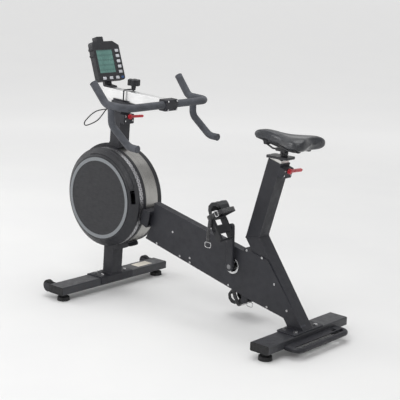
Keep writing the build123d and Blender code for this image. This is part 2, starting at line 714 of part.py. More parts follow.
def crank_arm(side):
    tip_z = CRANK_Z - side * CRANK_LENGTH
    outer = side * CRANK_Y + ARM_THICK / 2
    with BuildPart() as arm:
        with BuildSketch(side_plane(outer)):
            with Locations((CRANK_X, CRANK_Z)):
                Circle(18)
            with Locations((CRANK_X, tip_z)):
                Circle(13)
            make_hull()
        extrude(amount=ARM_THICK)
        chamfer(arm.faces().sort_by(Axis.Y)[0 if side < 0 else -1].edges(), 3)
        with BuildSketch(side_plane(outer)):
            with Locations((CRANK_X, CRANK_Z)):
                Circle(9.95)
        extrude(amount=ARM_THICK, mode=Mode.SUBTRACT)
        axle_far = side * (PEDAL_Y + PEDAL_WIDE / 2 - 4)
        near, far = sorted((side * CRANK_Y, axle_far))
        with BuildSketch(side_plane(far)):
            with Locations((CRANK_X, tip_z)):
                Circle(PEDAL_AXLE)
        extrude(amount=far - near)
    return arm


save(crank_arm(-1), "left_crank_arm")
save(crank_arm(1), "right_crank_arm")


def pedal_side(side, pitch, y):
    """Side view of a pedal about its spindle: local x points to the heel, local y away from the sole."""
    turn = radians(pitch)
    origin = (CRANK_X, y, CRANK_Z - side * CRANK_LENGTH)
    return Plane(origin=origin, x_dir=(cos(turn), 0, -sin(turn)), z_dir=(0, -1, 0))


CAGE_SHEET = 4
CAGE_WIDE = PEDAL_WIDE - 16
CAGE_CHEEK = 3.5
CAGE_SHOULDER = 24
CAGE_OUTER = [(-46, -6), (-84, 0), (-100, 11), (-106, 31), (-99, 51), (-82, 63), (-58, 66)]
CAGE_INNER = [(-60, 59), (-78, 53), (-89, 42), (-91, 30), (-84, 17), (-66, 9), (-46, 5)]


def pedal_across(side, pitch):
    """View along a pedal from its heel: local x is Y, local y away from the sole."""
    base = pedal_side(side, pitch, side * PEDAL_Y)
    return Plane(origin=base.origin, x_dir=(0, 1, 0), z_dir=base.x_dir)


def pedal(side, pitch):
    """Platform with two open windows and a toe cage that arches over its front."""
    edge = side * PEDAL_Y + PEDAL_WIDE / 2
    with BuildPart() as body:
        with BuildSketch(pedal_side(side, pitch, edge)):
            RectangleRounded(PEDAL_LONG, PEDAL_THICK, 9)
            Circle(PEDAL_AXLE + 0.06, mode=Mode.SUBTRACT)
        extrude(amount=PEDAL_WIDE)
        for offset_x in (-29, 29):
            with BuildSketch(pedal_side(side, pitch, edge - 14)):
                with Locations((offset_x, 0)):
                    Rectangle(26, 2 * PEDAL_THICK)
            extrude(amount=PEDAL_WIDE - 28, mode=Mode.SUBTRACT)
        cage_edge = edge - (PEDAL_WIDE - CAGE_WIDE) / 2
        with BuildSketch(pedal_side(side, pitch, cage_edge)):
            with BuildLine():
                sole = Polyline(*CAGE_OUTER)
                offset(sole, amount=CAGE_SHEET, side=Side.RIGHT)
            make_face()
        extrude(amount=CAGE_WIDE)
        for y in (cage_edge, cage_edge - CAGE_WIDE + CAGE_CHEEK):
            with BuildSketch(pedal_side(side, pitch, y)):
                with BuildLine():
                    Polyline(*CAGE_OUTER, *CAGE_INNER, close=True)
                make_face()
            extrude(amount=CAGE_CHEEK)
        across = pedal_across(side, pitch)
        with BuildSketch(across.offset(-112)):
            with Locations((-14, 29), (14, 29)):
                RectangleRounded(19, 32, 5)
        extrude(amount=24, mode=Mode.SUBTRACT)
        with BuildSketch(across.offset(-112)):
            with Locations((0, 50)):
                Rectangle(2 * CAGE_WIDE, 60)
            with Locations((0, 26)):
                RectangleRounded(CAGE_WIDE, 82, CAGE_SHOULDER, mode=Mode.SUBTRACT)
        extrude(amount=62, mode=Mode.SUBTRACT)
        sole_plane = Plane(origin=across.origin, x_dir=across.z_dir, z_dir=across.y_dir)
        with BuildSketch(sole_plane.offset(-10)):
            with Locations((-67, 0)):
                RectangleRounded(20, 40, 5)
        extrude(amount=22, mode=Mode.SUBTRACT)
    return body


save(pedal(-1, LEFT_PITCH), "left_pedal")
save(pedal(1, RIGHT_PITCH), "right_pedal")


STRAP_START = -64
STRAP_WIDE = 18
STRAP_MIDDLE = 28
STRAP_TALL = 83
STRAP_THICK = 2


def pedal_strap(side, pitch):
    """Foot strap looped over the cage top and down both edges of the platform."""
    width = PEDAL_WIDE + 5
    with BuildPart() as strap:
        with BuildSketch(pedal_across(side, pitch).offset(STRAP_START)):
            with Locations((0, STRAP_MIDDLE)):
                RectangleRounded(width + 2 * STRAP_THICK, STRAP_TALL + 2 * STRAP_THICK, 14)
                RectangleRounded(width, STRAP_TALL, 12, mode=Mode.SUBTRACT)
        extrude(amount=STRAP_WIDE)
    return strap


save(pedal_strap(-1, LEFT_PITCH), "left_strap")
save(pedal_strap(1, RIGHT_PITCH), "right_strap")

# ---------------------------------------------------------------- locks on the two tubes
LOCK_THICK = 22
LOCK_WIDE = 62
LOCK_RISE = 12
LEVER_DROOP = 3
LEVER_REACH = 41
MAST_LOCK = MAST_TOP - 24
SEAT_LOCK = SEAT_TUBE_TOP - 32


def lock_plane(square, half_depth, along):
    """Rear face of a tube at a height along it; local x is Y, local y is up the tube."""
    return Plane(origin=square.origin + square.x_dir * half_depth, x_dir=(0, 1, 0), z_dir=square.x_dir)


mast_rear = lock_plane(mast_plane(MAST_LOCK), MAST_DEPTH / 2, MAST_LOCK)
seat_rear = lock_plane(seat_plane(SEAT_LOCK), TUBE_HALF, SEAT_LOCK)
with BuildPart() as lock_brackets:
    for face in (mast_rear, seat_rear):
        with BuildSketch(face):
            RectangleRounded(LOCK_WIDE, 42, 4)
        extrude(amount=LOCK_THICK)
        with BuildSketch(face.offset(LOCK_THICK)):
            with Locations((-22, 13), (22, 13), (-22, -7), (22, -7)):
                Circle(4.5)
            with Locations((0, LOCK_RISE)):
                Circle(7)
        extrude(amount=2.5)
save(lock_brackets, "lock_brackets")


def lock_lever(face):
    """Cam lever on the bracket's stud, its arm out to the rider's right."""
    with BuildPart() as lever:
        with BuildSketch(face.offset(LOCK_THICK + 3)):
            with Locations((0, LOCK_RISE)):
                Circle(11)
            with Locations((LEVER_REACH, LOCK_RISE - 1)):
                SlotOverall(76, 11, rotation=-LEVER_DROOP)
        extrude(amount=8)
        with BuildSketch(face.offset(LOCK_THICK + 11)):
            with Locations((0, LOCK_RISE)):
                Circle(7)
        extrude(amount=4)
    return lever


save(lock_lever(mast_rear), "bar_lever")
save(lock_lever(seat_rear), "seat_lever")

# ---------------------------------------------------------------- seat
POST_GAP = 0.4
POST_RISE = 12
POST_LENGTH = 290
PLATE_X = 425.5
PLATE_Z = 722
PLATE_THICK = 10
TILT_Z = PLATE_Z + PLATE_THICK + 10
post_half = TUBE_HALF - TUBE_WALL - POST_GAP
with BuildPart() as seat_post:
    with BuildSketch(seat_plane(SEAT_TUBE_TOP + POST_RISE - POST_LENGTH)):
        RectangleRounded(2 * post_half, 2 * post_half, 3)
        Rectangle(2 * post_half - 8, 2 * post_half - 8, mode=Mode.SUBTRACT)
    extrude(amount=POST_LENGTH)
    split(bisect_by=Plane.XY.offset(PLATE_Z), keep=Keep.BOTTOM)
    with BuildSketch(Plane.XY.offset(PLATE_Z)):
        with Locations((PLATE_X, 0)):
            RectangleRounded(99, 60, 6)
    extrude(amount=PLATE_THICK)
    with BuildSketch(side_plane(9)):
        with Locations((SADDLE_X, PLATE_Z + PLATE_THICK + 5)):
            Rectangle(20, 10)
        with Locations((SADDLE_X, TILT_Z)):
            Circle(10)
            Circle(4, mode=Mode.SUBTRACT)
    extrude(amount=18)
save(seat_post, "seat_post")

RAIL_Z = TILT_Z + 18.5
RAIL_Y = 22
RAIL_RADIUS = 3.5
with BuildPart() as saddle_clamp:
    with BuildSketch(side_plane(29)):
        with Locations((SADDLE_X, RAIL_Z)):
            RectangleRounded(44, 13, 4)
    extrude(amount=58)
    for y in (14.3, -9.3):
        with BuildSketch(side_plane(y)):
            with Locations((SADDLE_X, TILT_Z)):
                Circle(9)
            with Locations((SADDLE_X, TILT_Z + 6)):
                Rectangle(18, 12)
        extrude(amount=5)
    with BuildSketch(side_plane(18)):
        with Locations((SADDLE_X, TILT_Z)):
            Circle(3.94)
    extrude(amount=36)
    for y in (-RAIL_Y, RAIL_Y):
        with BuildSketch(Plane.YZ.offset(SADDLE_X - 30)):
            with Locations((y, RAIL_Z)):
                Circle(RAIL_RADIUS + 0.06)
        extrude(amount=60, mode=Mode.SUBTRACT)
save(saddle_clamp, "saddle_clamp")

SEAT_NOSE = 292
SEAT_TAIL = 592
SEAT_HALF = 100
PAD_LOW = 768
PAD_HIGH = 830
SADDLE_HALF_PLAN = [(SEAT_NOSE, 16), (SEAT_NOSE + 125, 30), (SEAT_NOSE + 205, 78),
                    (SEAT_TAIL - 62, SEAT_HALF), (SEAT_TAIL - 14, SEAT_HALF - 18), (SEAT_TAIL - 6, 40)]
SADDLE_PLAN = SADDLE_HALF_PLAN + [(x, -y) for x, y in reversed(SADDLE_HALF_PLAN)]
SADDLE_UNDER = [(SEAT_NOSE - 5, 793), (SEAT_NOSE + 20, PAD_LOW + 20), (SEAT_NOSE + 90, PAD_LOW + 8),
                (SEAT_TAIL - 110, PAD_LOW), (SEAT_NOSE - 5, PAD_LOW - 5)]
SADDLE_OVER = [(SEAT_NOSE - 5, 812), (SEAT_NOSE + 12, 824), (SEAT_NOSE + 50, PAD_HIGH - 3),
               (SEAT_NOSE + 150, PAD_HIGH - 14), (SEAT_TAIL - 60, PAD_HIGH - 2),
               (SEAT_TAIL + 5, PAD_HIGH - 14), (SEAT_TAIL + 5, PAD_HIGH + 5), (SEAT_NOSE - 5, PAD_HIGH + 5)]
with BuildPart() as saddle_rails:
    for side in (-1, 1):
        with BuildLine() as rail:
            FilletPolyline((SEAT_NOSE + 72, side * 12, PAD_LOW + 4), (SADDLE_X - 40, side * RAIL_Y, RAIL_Z),
                           (SADDLE_X + 56, side * RAIL_Y, RAIL_Z),
                           (SEAT_TAIL - 62, side * 34, PAD_LOW - 4), radius=9)
        with BuildSketch(Plane(origin=rail.line @ 0, z_dir=rail.line % 0)):
            Circle(RAIL_RADIUS)
        sweep()
save(saddle_rails, "saddle_rails")

with BuildPart() as saddle:
    with BuildSketch(Plane.XY.offset(PAD_LOW)):
        with BuildLine():
            Polyline(*SADDLE_PLAN, close=True)
        plan = make_face()
        fillet(plan.vertices(), 11)
    extrude(amount=PAD_HIGH - PAD_LOW)
    with BuildSketch(side_plane(SEAT_HALF + 10)):
        with BuildLine():
            Polyline(*SADDLE_UNDER, close=True)
        make_face()
    extrude(amount=2 * SEAT_HALF + 20, mode=Mode.SUBTRACT)
    with BuildSketch(side_plane(SEAT_HALF + 10)):
        with BuildLine():
            Polyline(*SADDLE_OVER, close=True)
        make_face()
    extrude(amount=2 * SEAT_HALF + 20, mode=Mode.SUBTRACT)
save(saddle, "saddle")

# ---------------------------------------------------------------- handlebar column
CRADLE_FRONT_OUT = -28
CRADLE_REAR_OUT = 64
CRADLE_THICK = 12
SLIDE_BOTTOM = BEAM_TOP - SLIDE_TALL
bar_post_half = (MAST_DEPTH / 2 - TUBE_WALL - POST_GAP, TUBE_HALF - TUBE_WALL - POST_GAP)
with BuildPart() as bar_post:
    with BuildSketch(mast_plane(MAST_TOP - 122)):
        Rectangle(2 * bar_post_half[0], 2 * bar_post_half[1])
        Rectangle(2 * bar_post_half[0] - 8, 2 * bar_post_half[1] - 8, mode=Mode.SUBTRACT)
    extrude(amount=SLIDE_BOTTOM - MAST_TOP + 122 - CRADLE_THICK)
    with BuildSketch(mast_side(34)):
        with Locations(((CRADLE_FRONT_OUT + CRADLE_REAR_OUT) / 2, SLIDE_BOTTOM - CRADLE_THICK / 2 - 0.3)):
            Rectangle(CRADLE_REAR_OUT - CRADLE_FRONT_OUT, CRADLE_THICK)
    extrude(amount=68)
    for y in (-SLIDE_WIDE / 2 - 0.4, SLIDE_WIDE / 2 + 4.4):
        with BuildSketch(mast_side(y)):
            with Locations(((CRADLE_FRONT_OUT + CRADLE_REAR_OUT) / 2, SLIDE_BOTTOM + 3)):
                Rectangle(CRADLE_REAR_OUT - CRADLE_FRONT_OUT, 8)
        extrude(amount=4)
save(bar_post, "bar_post")

with BuildPart() as slide_beam:
    with BuildSketch(mast_side(SLIDE_WIDE / 2)):
        with Locations(((SLIDE_FRONT + SLIDE_REAR) / 2, BEAM_TOP - SLIDE_TALL / 2)):
            Rectangle(SLIDE_REAR - SLIDE_FRONT, SLIDE_TALL)
    extrude(amount=SLIDE_WIDE)
    long_edges = slide_beam.edges().filter_by(lambda edge: edge.length > 300)
    fillet(long_edges, 3)
save(slide_beam, "slide_beam")

ROD_RADIUS = 3
ROD_OUT = 38
ROD_NEAR_Y = -29
KNOB_Y = 30
KNOB_TALL = 26
ROD_TOP = BEAM_TOP + 5
near_foot = mast_point(ROD_OUT, SLIDE_BOTTOM - 0.3)
near_top = mast_point(ROD_OUT, ROD_TOP)
with BuildPart() as hold_down_rod:
    with BuildLine() as route:
        FilletPolyline((near_foot[0], ROD_NEAR_Y, near_foot[1]),
                       (near_top[0], ROD_NEAR_Y, near_top[1]),
                       (near_top[0], KNOB_Y - 6, near_top[1]), radius=7)
    with BuildSketch(Plane(origin=route.line @ 0, z_dir=route.line % 0)):
        Circle(ROD_RADIUS)
    sweep()
    with BuildSketch(mast_plane(ROD_TOP - 4)):
        with Locations((ROD_OUT, KNOB_Y)):
            Circle(9)
            Circle(4.08, mode=Mode.SUBTRACT)
    extrude(amount=8)
save(hold_down_rod, "hold_down_rod")

with BuildPart() as star_knob:
    with BuildSketch(mast_plane(SLIDE_BOTTOM)):
        with Locations((ROD_OUT, KNOB_Y)):
            Circle(4)
    extrude(amount=ROD_TOP + 10 - SLIDE_BOTTOM)
    with BuildSketch(mast_plane(ROD_TOP + 4.3)):
        with Locations((ROD_OUT, KNOB_Y)):
            Circle(10)
    extrude(amount=12)
    with BuildSketch(mast_plane(ROD_TOP + 16)):
        with Locations((ROD_OUT, KNOB_Y)):
            Circle(21)
            with PolarLocations(20, 6):
                Circle(8)
    extrude(amount=KNOB_TALL)
    rim = star_knob.faces().sort_by(Axis.Z)[-1].edges()
    fillet(rim, 3)
save(star_knob, "star_knob")

CLAMP_FRONT = SLIDE_REAR
CLAMP_REAR = BAR_OUT + GRIP_RADIUS + 3
with BuildPart() as stem_clamp:
    with BuildSketch(mast_side(35)):
        with Locations(((CLAMP_FRONT + CLAMP_REAR) / 2, BAR_UP - 1)):
            RectangleRounded(CLAMP_REAR - CLAMP_FRONT, 48, 5)
        with Locations((BAR_OUT, BAR_UP)):
            Circle(GRIP_RADIUS, mode=Mode.SUBTRACT)
    extrude(amount=70)
    spots = [mast_point(CLAMP_REAR, BAR_UP + z) for z in (-19, 17)]
    for x, z in spots:
        bolts = Plane(origin=(x, 0, z), x_dir=(0, 1, 0), z_dir=mast_side(0).x_dir)
        with BuildSketch(bolts):
            with Locations((-26, 0), (26, 0)):
                Circle(4.5)
        extrude(amount=3)
save(stem_clamp, "stem_clamp")

BAR_X, BAR_Z = mast_point(BAR_OUT, BAR_UP)
SHOULDER_X = BAR_X - 113
HORN_TIP = (-349, 258, 948)
DROP_X = BAR_X - 85
with BuildPart() as handlebar:
    tips = [(HORN_TIP[0], -HORN_TIP[1], HORN_TIP[2]), (SHOULDER_X, -252, BAR_Z + 6), (BAR_X, -250, BAR_Z + 2),
            (BAR_X, 250, BAR_Z + 2), (SHOULDER_X, 252, BAR_Z + 6), HORN_TIP]
    with BuildLine() as main_route:
        FilletPolyline(*[(x, y, BAR_Z if x == BAR_X else z) for x, y, z in tips], radius=44)
    with BuildSketch(Plane(origin=main_route.line @ 0, z_dir=main_route.line % 0)):
        Circle(GRIP_RADIUS)
    sweep()
    for side in (-1, 1):
        with BuildLine() as drop:
            FilletPolyline((DROP_X, side * 250, BAR_Z + 2), (DROP_X + 3, side * 249, BAR_Z - 74),
                           (DROP_X + 104, side * 248, BAR_Z - 152), (DROP_X + 150, side * 248, BAR_Z - 154),
                           radius=[40, 60])
        with BuildSketch(Plane(origin=drop.line @ 0, z_dir=drop.line % 0)):
            Circle(DROP_RADIUS)
        sweep()
save(handlebar, "handlebar")

# ---------------------------------------------------------------- monitor
SCREEN_WIDE = 95
SCREEN_TALL = 101
SCREEN_Y = -16.5
SCREEN_MIDDLE = 86
SIDE_KEY_Y = 58
SIDE_KEY_PITCH = 23.4
SIDE_KEY_FIRST = 37
LOW_KEY_UP = 12
LOW_KEYS = (-45, -6, 33)
KEY_WIDE = 19
KEY_TALL = 12.5
KEY_GAP = 0.4
KEY_PROUD = 2.5
KEY_DEEP = 5
lean = radians(MONITOR_TILT)
face_x = Vector(0, 1, 0)
face_normal = Vector(cos(lean), 0, sin(lean))
face_up = Vector(-sin(lean), 0, cos(lean))
face_plane = Plane(origin=(MONITOR_X, 0, MONITOR_Z), x_dir=face_x, z_dir=face_normal)
face_axis = Axis((0, 0, 0), (face_normal.X, 0, face_normal.Z))
KEYS = [(f"side_key_{n + 1}", SIDE_KEY_Y, SIDE_KEY_FIRST + n * SIDE_KEY_PITCH) for n in range(5)]
KEYS += [(f"low_key_{n + 1}", y, LOW_KEY_UP) for n, y in enumerate(LOW_KEYS)]
HINGE_PIN = 4
hinge = face_plane.origin + face_up * 34 - face_normal * (MONITOR_THICK + 8.5)
with BuildPart() as monitor_housing:
    with BuildSketch(face_plane):
        with Locations((0, MONITOR_TALL / 2)):
            RectangleRounded(MONITOR_WIDE, MONITOR_TALL, 14)
        with Locations((MONITOR_WIDE / 2, MONITOR_TALL)):
            Rectangle(90, SHOULDER_CUT, rotation=-SHOULDER_SLOPE, mode=Mode.SUBTRACT)
        with Locations((-27, MONITOR_TALL + 4)):
            RectangleRounded(40, 34, 4)
        with Locations((-MONITOR_WIDE / 2, MONITOR_TALL - 32), (-MONITOR_WIDE / 2, MONITOR_TALL - 60)):
            RectangleRounded(8, 10, 2)
    extrude(amount=-MONITOR_THICK)
    with BuildSketch(face_plane):
        with Locations((SCREEN_Y, SCREEN_MIDDLE)):
            Rectangle(SCREEN_WIDE, SCREEN_TALL)
    extrude(amount=-3, mode=Mode.SUBTRACT)
    with BuildSketch(face_plane):
        for _, y, up in KEYS:
            with Locations((y, up)):
                RectangleRounded(KEY_WIDE + 2 * KEY_GAP, KEY_TALL + 2 * KEY_GAP, 3)
    extrude(amount=-KEY_DEEP - 3, mode=Mode.SUBTRACT)
    with BuildSketch(side_plane(14)):
        with Locations((hinge.X, hinge.Z), (hinge.X + 7, hinge.Z + 2)):
            Circle(9)
        make_hull()
        with Locations((hinge.X, hinge.Z)):
            Circle(HINGE_PIN + 0.06, mode=Mode.SUBTRACT)
    extrude(amount=28)
save(monitor_housing, "monitor_housing")

with BuildPart() as monitor_screen:
    with BuildSketch(face_plane.offset(-3)):
        with Locations((SCREEN_Y, SCREEN_MIDDLE)):
            Rectangle(SCREEN_WIDE, SCREEN_TALL)
    extrude(amount=2.2)
save(monitor_screen, "monitor_screen")

for name, y, up in KEYS:
    with BuildPart() as key:
        with BuildSketch(face_plane.offset(-KEY_DEEP)):
            with Locations((y, up)):
                RectangleRounded(KEY_WIDE, KEY_TALL, 2.6)
        extrude(amount=KEY_DEEP + KEY_PROUD)
        fillet(key.faces().sort_by(face_axis)[-1].edges(), 1)
    save(key, name)

BRACKET_HALF = 20
bracket_foot = mast_point(SLIDE_FRONT + 24, BEAM_TOP)
with BuildPart() as monitor_bracket:
    with BuildSketch(side_plane(BRACKET_HALF)):
        with BuildLine():
            foot = (bracket_foot[0], bracket_foot[1])
            Polyline((foot[0] - 22, foot[1] + 1.6), (foot[0] + 24, foot[1] - 0.6),
                     (foot[0] + 22, foot[1] + 6), (foot[0] - 9, foot[1] + 9),
                     (hinge.X + 7, hinge.Z - 4), (hinge.X - 7, hinge.Z + 3),
                     (foot[0] - 24, foot[1] + 9), close=True)
        make_face()
        with Locations((hinge.X, hinge.Z)):
            Circle(8)
    extrude(amount=2 * BRACKET_HALF)
    with BuildSketch(side_plane(14.4)):
        with Locations((hinge.X, hinge.Z)):
            Circle(17)
    extrude(amount=28.8, mode=Mode.SUBTRACT)
    with BuildSketch(side_plane(BRACKET_HALF)):
        with Locations((hinge.X, hinge.Z)):
            Circle(HINGE_PIN)
    extrude(amount=2 * BRACKET_HALF)
save(monitor_bracket, "monitor_bracket")

# ---------------------------------------------------------------- sensor cable
CABLE_RADIUS = 2.5
CABLE_ROUTE = [(-469.6, -6, 806), (-500, -6, 805), (-545, -6, 797), (-588, -6, 786), (-619, -7, 768),
               (-640, -8, 750), (-657, -9, 734), (-665, -10, 722), (-659, -12, 712), (-643, -13, 714),
               (-616, -14, 724), (-574, -15, 744), (-545, -16, 772), (-520, -17, 801), (-494.5, -17, 816),
               (-469.1, -17, 819)]


def bend_radii(route):
    """Largest round arcs that the runs of a route allow, one for each inner point."""
    radii = []
    for before, corner, after in zip(route, route[1:], route[2:]):
        run_in = Vector(*corner) - Vector(*before)
        run_out = Vector(*after) - Vector(*corner)
        half_turn = radians(run_in.get_angle(run_out) / 2)
        radii.append(0.45 * min(run_in.length, run_out.length) / tan(half_turn))
    return radii


cable_radii = bend_radii(CABLE_ROUTE)
with BuildPart() as sensor_cable:
    with BuildLine() as cable_path:
        FilletPolyline(*CABLE_ROUTE, radius=cable_radii)
    with BuildSketch(Plane(origin=cable_path.line @ 0, z_dir=cable_path.line % 0)):
        Circle(CABLE_RADIUS)
    sweep()
save(sensor_cable, "sensor_cable")
cable_length = cable_path.wires()[0].length
full_volume = pi * CABLE_RADIUS ** 2 * cable_length
print("cable radii", [round(radius, 1) for radius in cable_radii])
print("cable length", round(cable_length, 1))
print("cable volume over section x length", round(sensor_cable.part.volume / full_volume, 4))
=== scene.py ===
from math import cos, pi, radians, sin

import bmesh
import bpy
from mathutils import Matrix, Vector
from mathutils.bvhtree import BVHTree


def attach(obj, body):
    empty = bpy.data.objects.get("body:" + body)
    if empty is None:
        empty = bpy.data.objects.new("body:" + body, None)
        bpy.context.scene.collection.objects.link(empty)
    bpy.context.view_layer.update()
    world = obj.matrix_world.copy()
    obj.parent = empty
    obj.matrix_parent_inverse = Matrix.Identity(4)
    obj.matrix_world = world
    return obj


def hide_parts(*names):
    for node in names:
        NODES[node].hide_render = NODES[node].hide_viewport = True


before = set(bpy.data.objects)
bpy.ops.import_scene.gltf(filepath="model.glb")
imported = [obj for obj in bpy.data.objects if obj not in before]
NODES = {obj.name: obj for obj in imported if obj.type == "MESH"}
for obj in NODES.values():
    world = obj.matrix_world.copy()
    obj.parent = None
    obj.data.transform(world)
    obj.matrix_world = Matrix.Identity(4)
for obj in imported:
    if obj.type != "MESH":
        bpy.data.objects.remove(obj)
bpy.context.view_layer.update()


# ------------------------------------------------------------ places shared with the CAD, metres
DRUM = Vector((-0.462, 0, 0.428))
CRANK = Vector((0.241, 0, 0.259))
MAST_LEAN = radians(2.7)
SEAT_LEAN = radians(15.7)
MONITOR_LEAN = radians(18.6)
FACE_FOOT = Vector((-0.4985, 0, 0.928))
LEG_LEAN = radians(35.7)
FRAME_BEND = Vector((0.331, 0, 0.394))
ACROSS = Vector((0, 1, 0))
UP = Vector((0, 0, 1))
BACK = Vector((1, 0, 0))
DISC_RING_RADIUS = 0.1628
DISC_RING_Y = -0.1106
POST_PLATE_Z = 0.7222
FOOT_BAR_TOP = 0.065


def leaning(angle):
    """Directions behind and along something that leans back by an angle from upright."""
    return Vector((cos(angle), 0, -sin(angle))), Vector((sin(angle), 0, cos(angle)))


# ------------------------------------------------------------ camera
CAMERA_PLACE = (2.9772, -3.4391, 1.4933)
CAMERA_YAW, CAMERA_DOWN, CAMERA_ROLL = radians(40.8), radians(12.42), radians(2.12)
CAMERA_LENS = 101.3
CAMERA_SHIFT = (0.0072, -0.0049)


def camera():
    """Pinhole camera fitted to the photo."""
    yaw, down, roll = CAMERA_YAW, CAMERA_DOWN, CAMERA_ROLL
    back = Vector((sin(yaw) * cos(down), -cos(yaw) * cos(down), sin(down)))
    right = (-back).cross(UP).normalized()
    up = right.cross(-back)
    tilted_right = right * cos(roll) + up * sin(roll)
    tilted_up = up * cos(roll) - right * sin(roll)
    data = bpy.data.cameras.new("photo_camera")
    data.lens = CAMERA_LENS
    data.sensor_width = 36
    data.shift_x, data.shift_y = CAMERA_SHIFT
    data.dof.use_dof = False
    holder = bpy.data.objects.new("photo_camera", data)
    bpy.context.scene.collection.objects.link(holder)
    turn = Matrix((tilted_right, tilted_up, back)).transposed()
    holder.matrix_world = Matrix.Translation(CAMERA_PLACE) @ turn.to_4x4()
    bpy.context.scene.camera = holder


camera()


# ------------------------------------------------------------ materials
class Shader:
    """Small builder for one node material, in object coordinates, metres."""

    def __init__(self, name):
        self.material = bpy.data.materials.new(name)
        self.material.use_nodes = True
        self.nodes = self.material.node_tree.nodes
        self.links = self.material.node_tree.links
        self.nodes.clear()
        self.out = self.nodes.new("ShaderNodeOutputMaterial")
        self.skin = self.nodes.new("ShaderNodeBsdfPrincipled")
        self.links.new(self.skin.outputs[0], self.out.inputs[0])
        self.place = self.nodes.new("ShaderNodeTexCoord").outputs["Object"]

    def scaled(self, scale, turn=(0, 0, 0)):
        node = self.nodes.new("ShaderNodeMapping")
        node.inputs["Scale"].default_value = scale
        node.inputs["Rotation"].default_value = turn
        self.links.new(self.place, node.inputs["Vector"])
        return node.outputs[0]

    def noise(self, scale, detail=3, vector=None, rough=0.55):
        node = self.nodes.new("ShaderNodeTexNoise")
        node.inputs["Scale"].default_value = scale
        node.inputs["Detail"].default_value = detail
        node.inputs["Roughness"].default_value = rough
        self.links.new(vector or self.place, node.inputs["Vector"])
        return node.outputs["Fac"]

    def cells(self, scale, vector=None, feature="F1"):
        node = self.nodes.new("ShaderNodeTexVoronoi")
        node.feature = feature
        node.inputs["Scale"].default_value = scale
        self.links.new(vector or self.place, node.inputs["Vector"])
        return node.outputs["Distance"]

    def wave(self, scale, direction):
        node = self.nodes.new("ShaderNodeTexWave")
        node.bands_direction = direction
        node.inputs["Scale"].default_value = scale
        self.links.new(self.place, node.inputs["Vector"])
        return node.outputs["Fac"]

    def math(self, operation, a, b=None):
        node = self.nodes.new("ShaderNodeMath")
        node.operation = operation
        for socket, value in zip(node.inputs, (a, b)):
            if value is None:
                continue
            if isinstance(value, (int, float)):
                socket.default_value = value
            else:
                self.links.new(value, socket)
        return node.outputs[0]

    def spread(self, value, low, high, start=0.35, end=0.65):
        """Map start..end of a value to low..high."""
        node = self.nodes.new("ShaderNodeMapRange")
        for name, number in (("From Min", start), ("From Max", end), ("To Min", low), ("To Max", high)):
            node.inputs[name].default_value = number
        self.links.new(value, node.inputs["Value"])
        return node.outputs[0]

    def mix(self, share, first, second):
        """Colour between two, each a tuple or a socket."""
        node = self.nodes.new("ShaderNodeMix")
        node.data_type = "RGBA"
        sockets = [s for s in node.inputs if s.type == "RGBA"]
        for socket, value in zip(sockets, (first, second)):
            if isinstance(value, tuple):
                socket.default_value = (*value[:3], 1)
            else:
                self.links.new(value, socket)
        self.links.new(share, node.inputs[0])
        return [s for s in node.outputs if s.type == "RGBA"][0]

    def edges(self, radius=0.0025):
        """Share from 0 to 1 that rises where a small round would turn the surface: its edges."""
        node = self.nodes.new("ShaderNodeBevel")
        node.samples = 4
        node.inputs["Radius"].default_value = radius
        facing = self.nodes.new("ShaderNodeNewGeometry").outputs["Normal"]
        dot = self.nodes.new("ShaderNodeVectorMath")
        dot.operation = "DOT_PRODUCT"
        self.links.new(node.outputs[0], dot.inputs[0])
        self.links.new(facing, dot.inputs[1])
        return self.spread(dot.outputs["Value"], 1, 0, 0.80, 0.985)

    def parts(self):
        """Sockets of x, y and z."""
        node = self.nodes.new("ShaderNodeSeparateXYZ")
        self.links.new(self.place, node.inputs[0])
        return node.outputs

    def bumps(self, *layers):
        """Layers of (height, strength, distance in metres), laid over each other."""
        normal = None
        for height, strength, distance in layers:
            node = self.nodes.new("ShaderNodeBump")
            node.inputs["Strength"].default_value = strength
            node.inputs["Distance"].default_value = distance
            self.links.new(height, node.inputs["Height"])
            if normal is not None:
                self.links.new(normal, node.inputs["Normal"])
            normal = node.outputs[0]
        self.links.new(normal, self.skin.inputs["Normal"])

    def finish(self, colour, rough, metal=0.0, specular=0.5, coat=0.0, coat_rough=0.2, sheen=0.0):
        for name, value in (("Base Color", colour), ("Roughness", rough)):
            if isinstance(value, tuple):
                self.skin.inputs[name].default_value = (*value, 1)
            elif isinstance(value, (int, float)):
                self.skin.inputs[name].default_value = value
            else:
                self.links.new(value, self.skin.inputs[name])
        self.skin.inputs["Metallic"].default_value = metal
        self.skin.inputs["Specular IOR Level"].default_value = specular
        self.skin.inputs["Coat Weight"].default_value = coat
        self.skin.inputs["Coat Roughness"].default_value = coat_rough
        self.skin.inputs["Sheen Weight"].default_value = sheen
        return self.material


def tint(colour, share):
    return tuple(min(1, c * share) for c in colour)


def powder_coat(name, colour, rough_low, rough_high, grain=1500):
    """Fine textured powder coat, lighter where its edges have worn."""
    s = Shader(name)
    cloud = s.noise(9, 5)
    speck = s.noise(grain, 2)
    base = s.mix(s.spread(cloud, 0, 1), tint(colour, 0.86), tint(colour, 1.16))
    fine = s.mix(s.spread(speck, 0, 1, 0.55, 0.75), base, tint(colour, 1.5))
    worn = s.mix(s.math("MULTIPLY", s.edges(), s.spread(s.noise(140, 3), 0.1, 0.8)), fine, tint(colour, 3.4))
    s.bumps((speck, 0.3, 0.0004), (s.noise(120, 3), 0.06, 0.0008))
    return s.finish(worn, s.spread(s.noise(45, 4), rough_low, rough_high), specular=0.42)


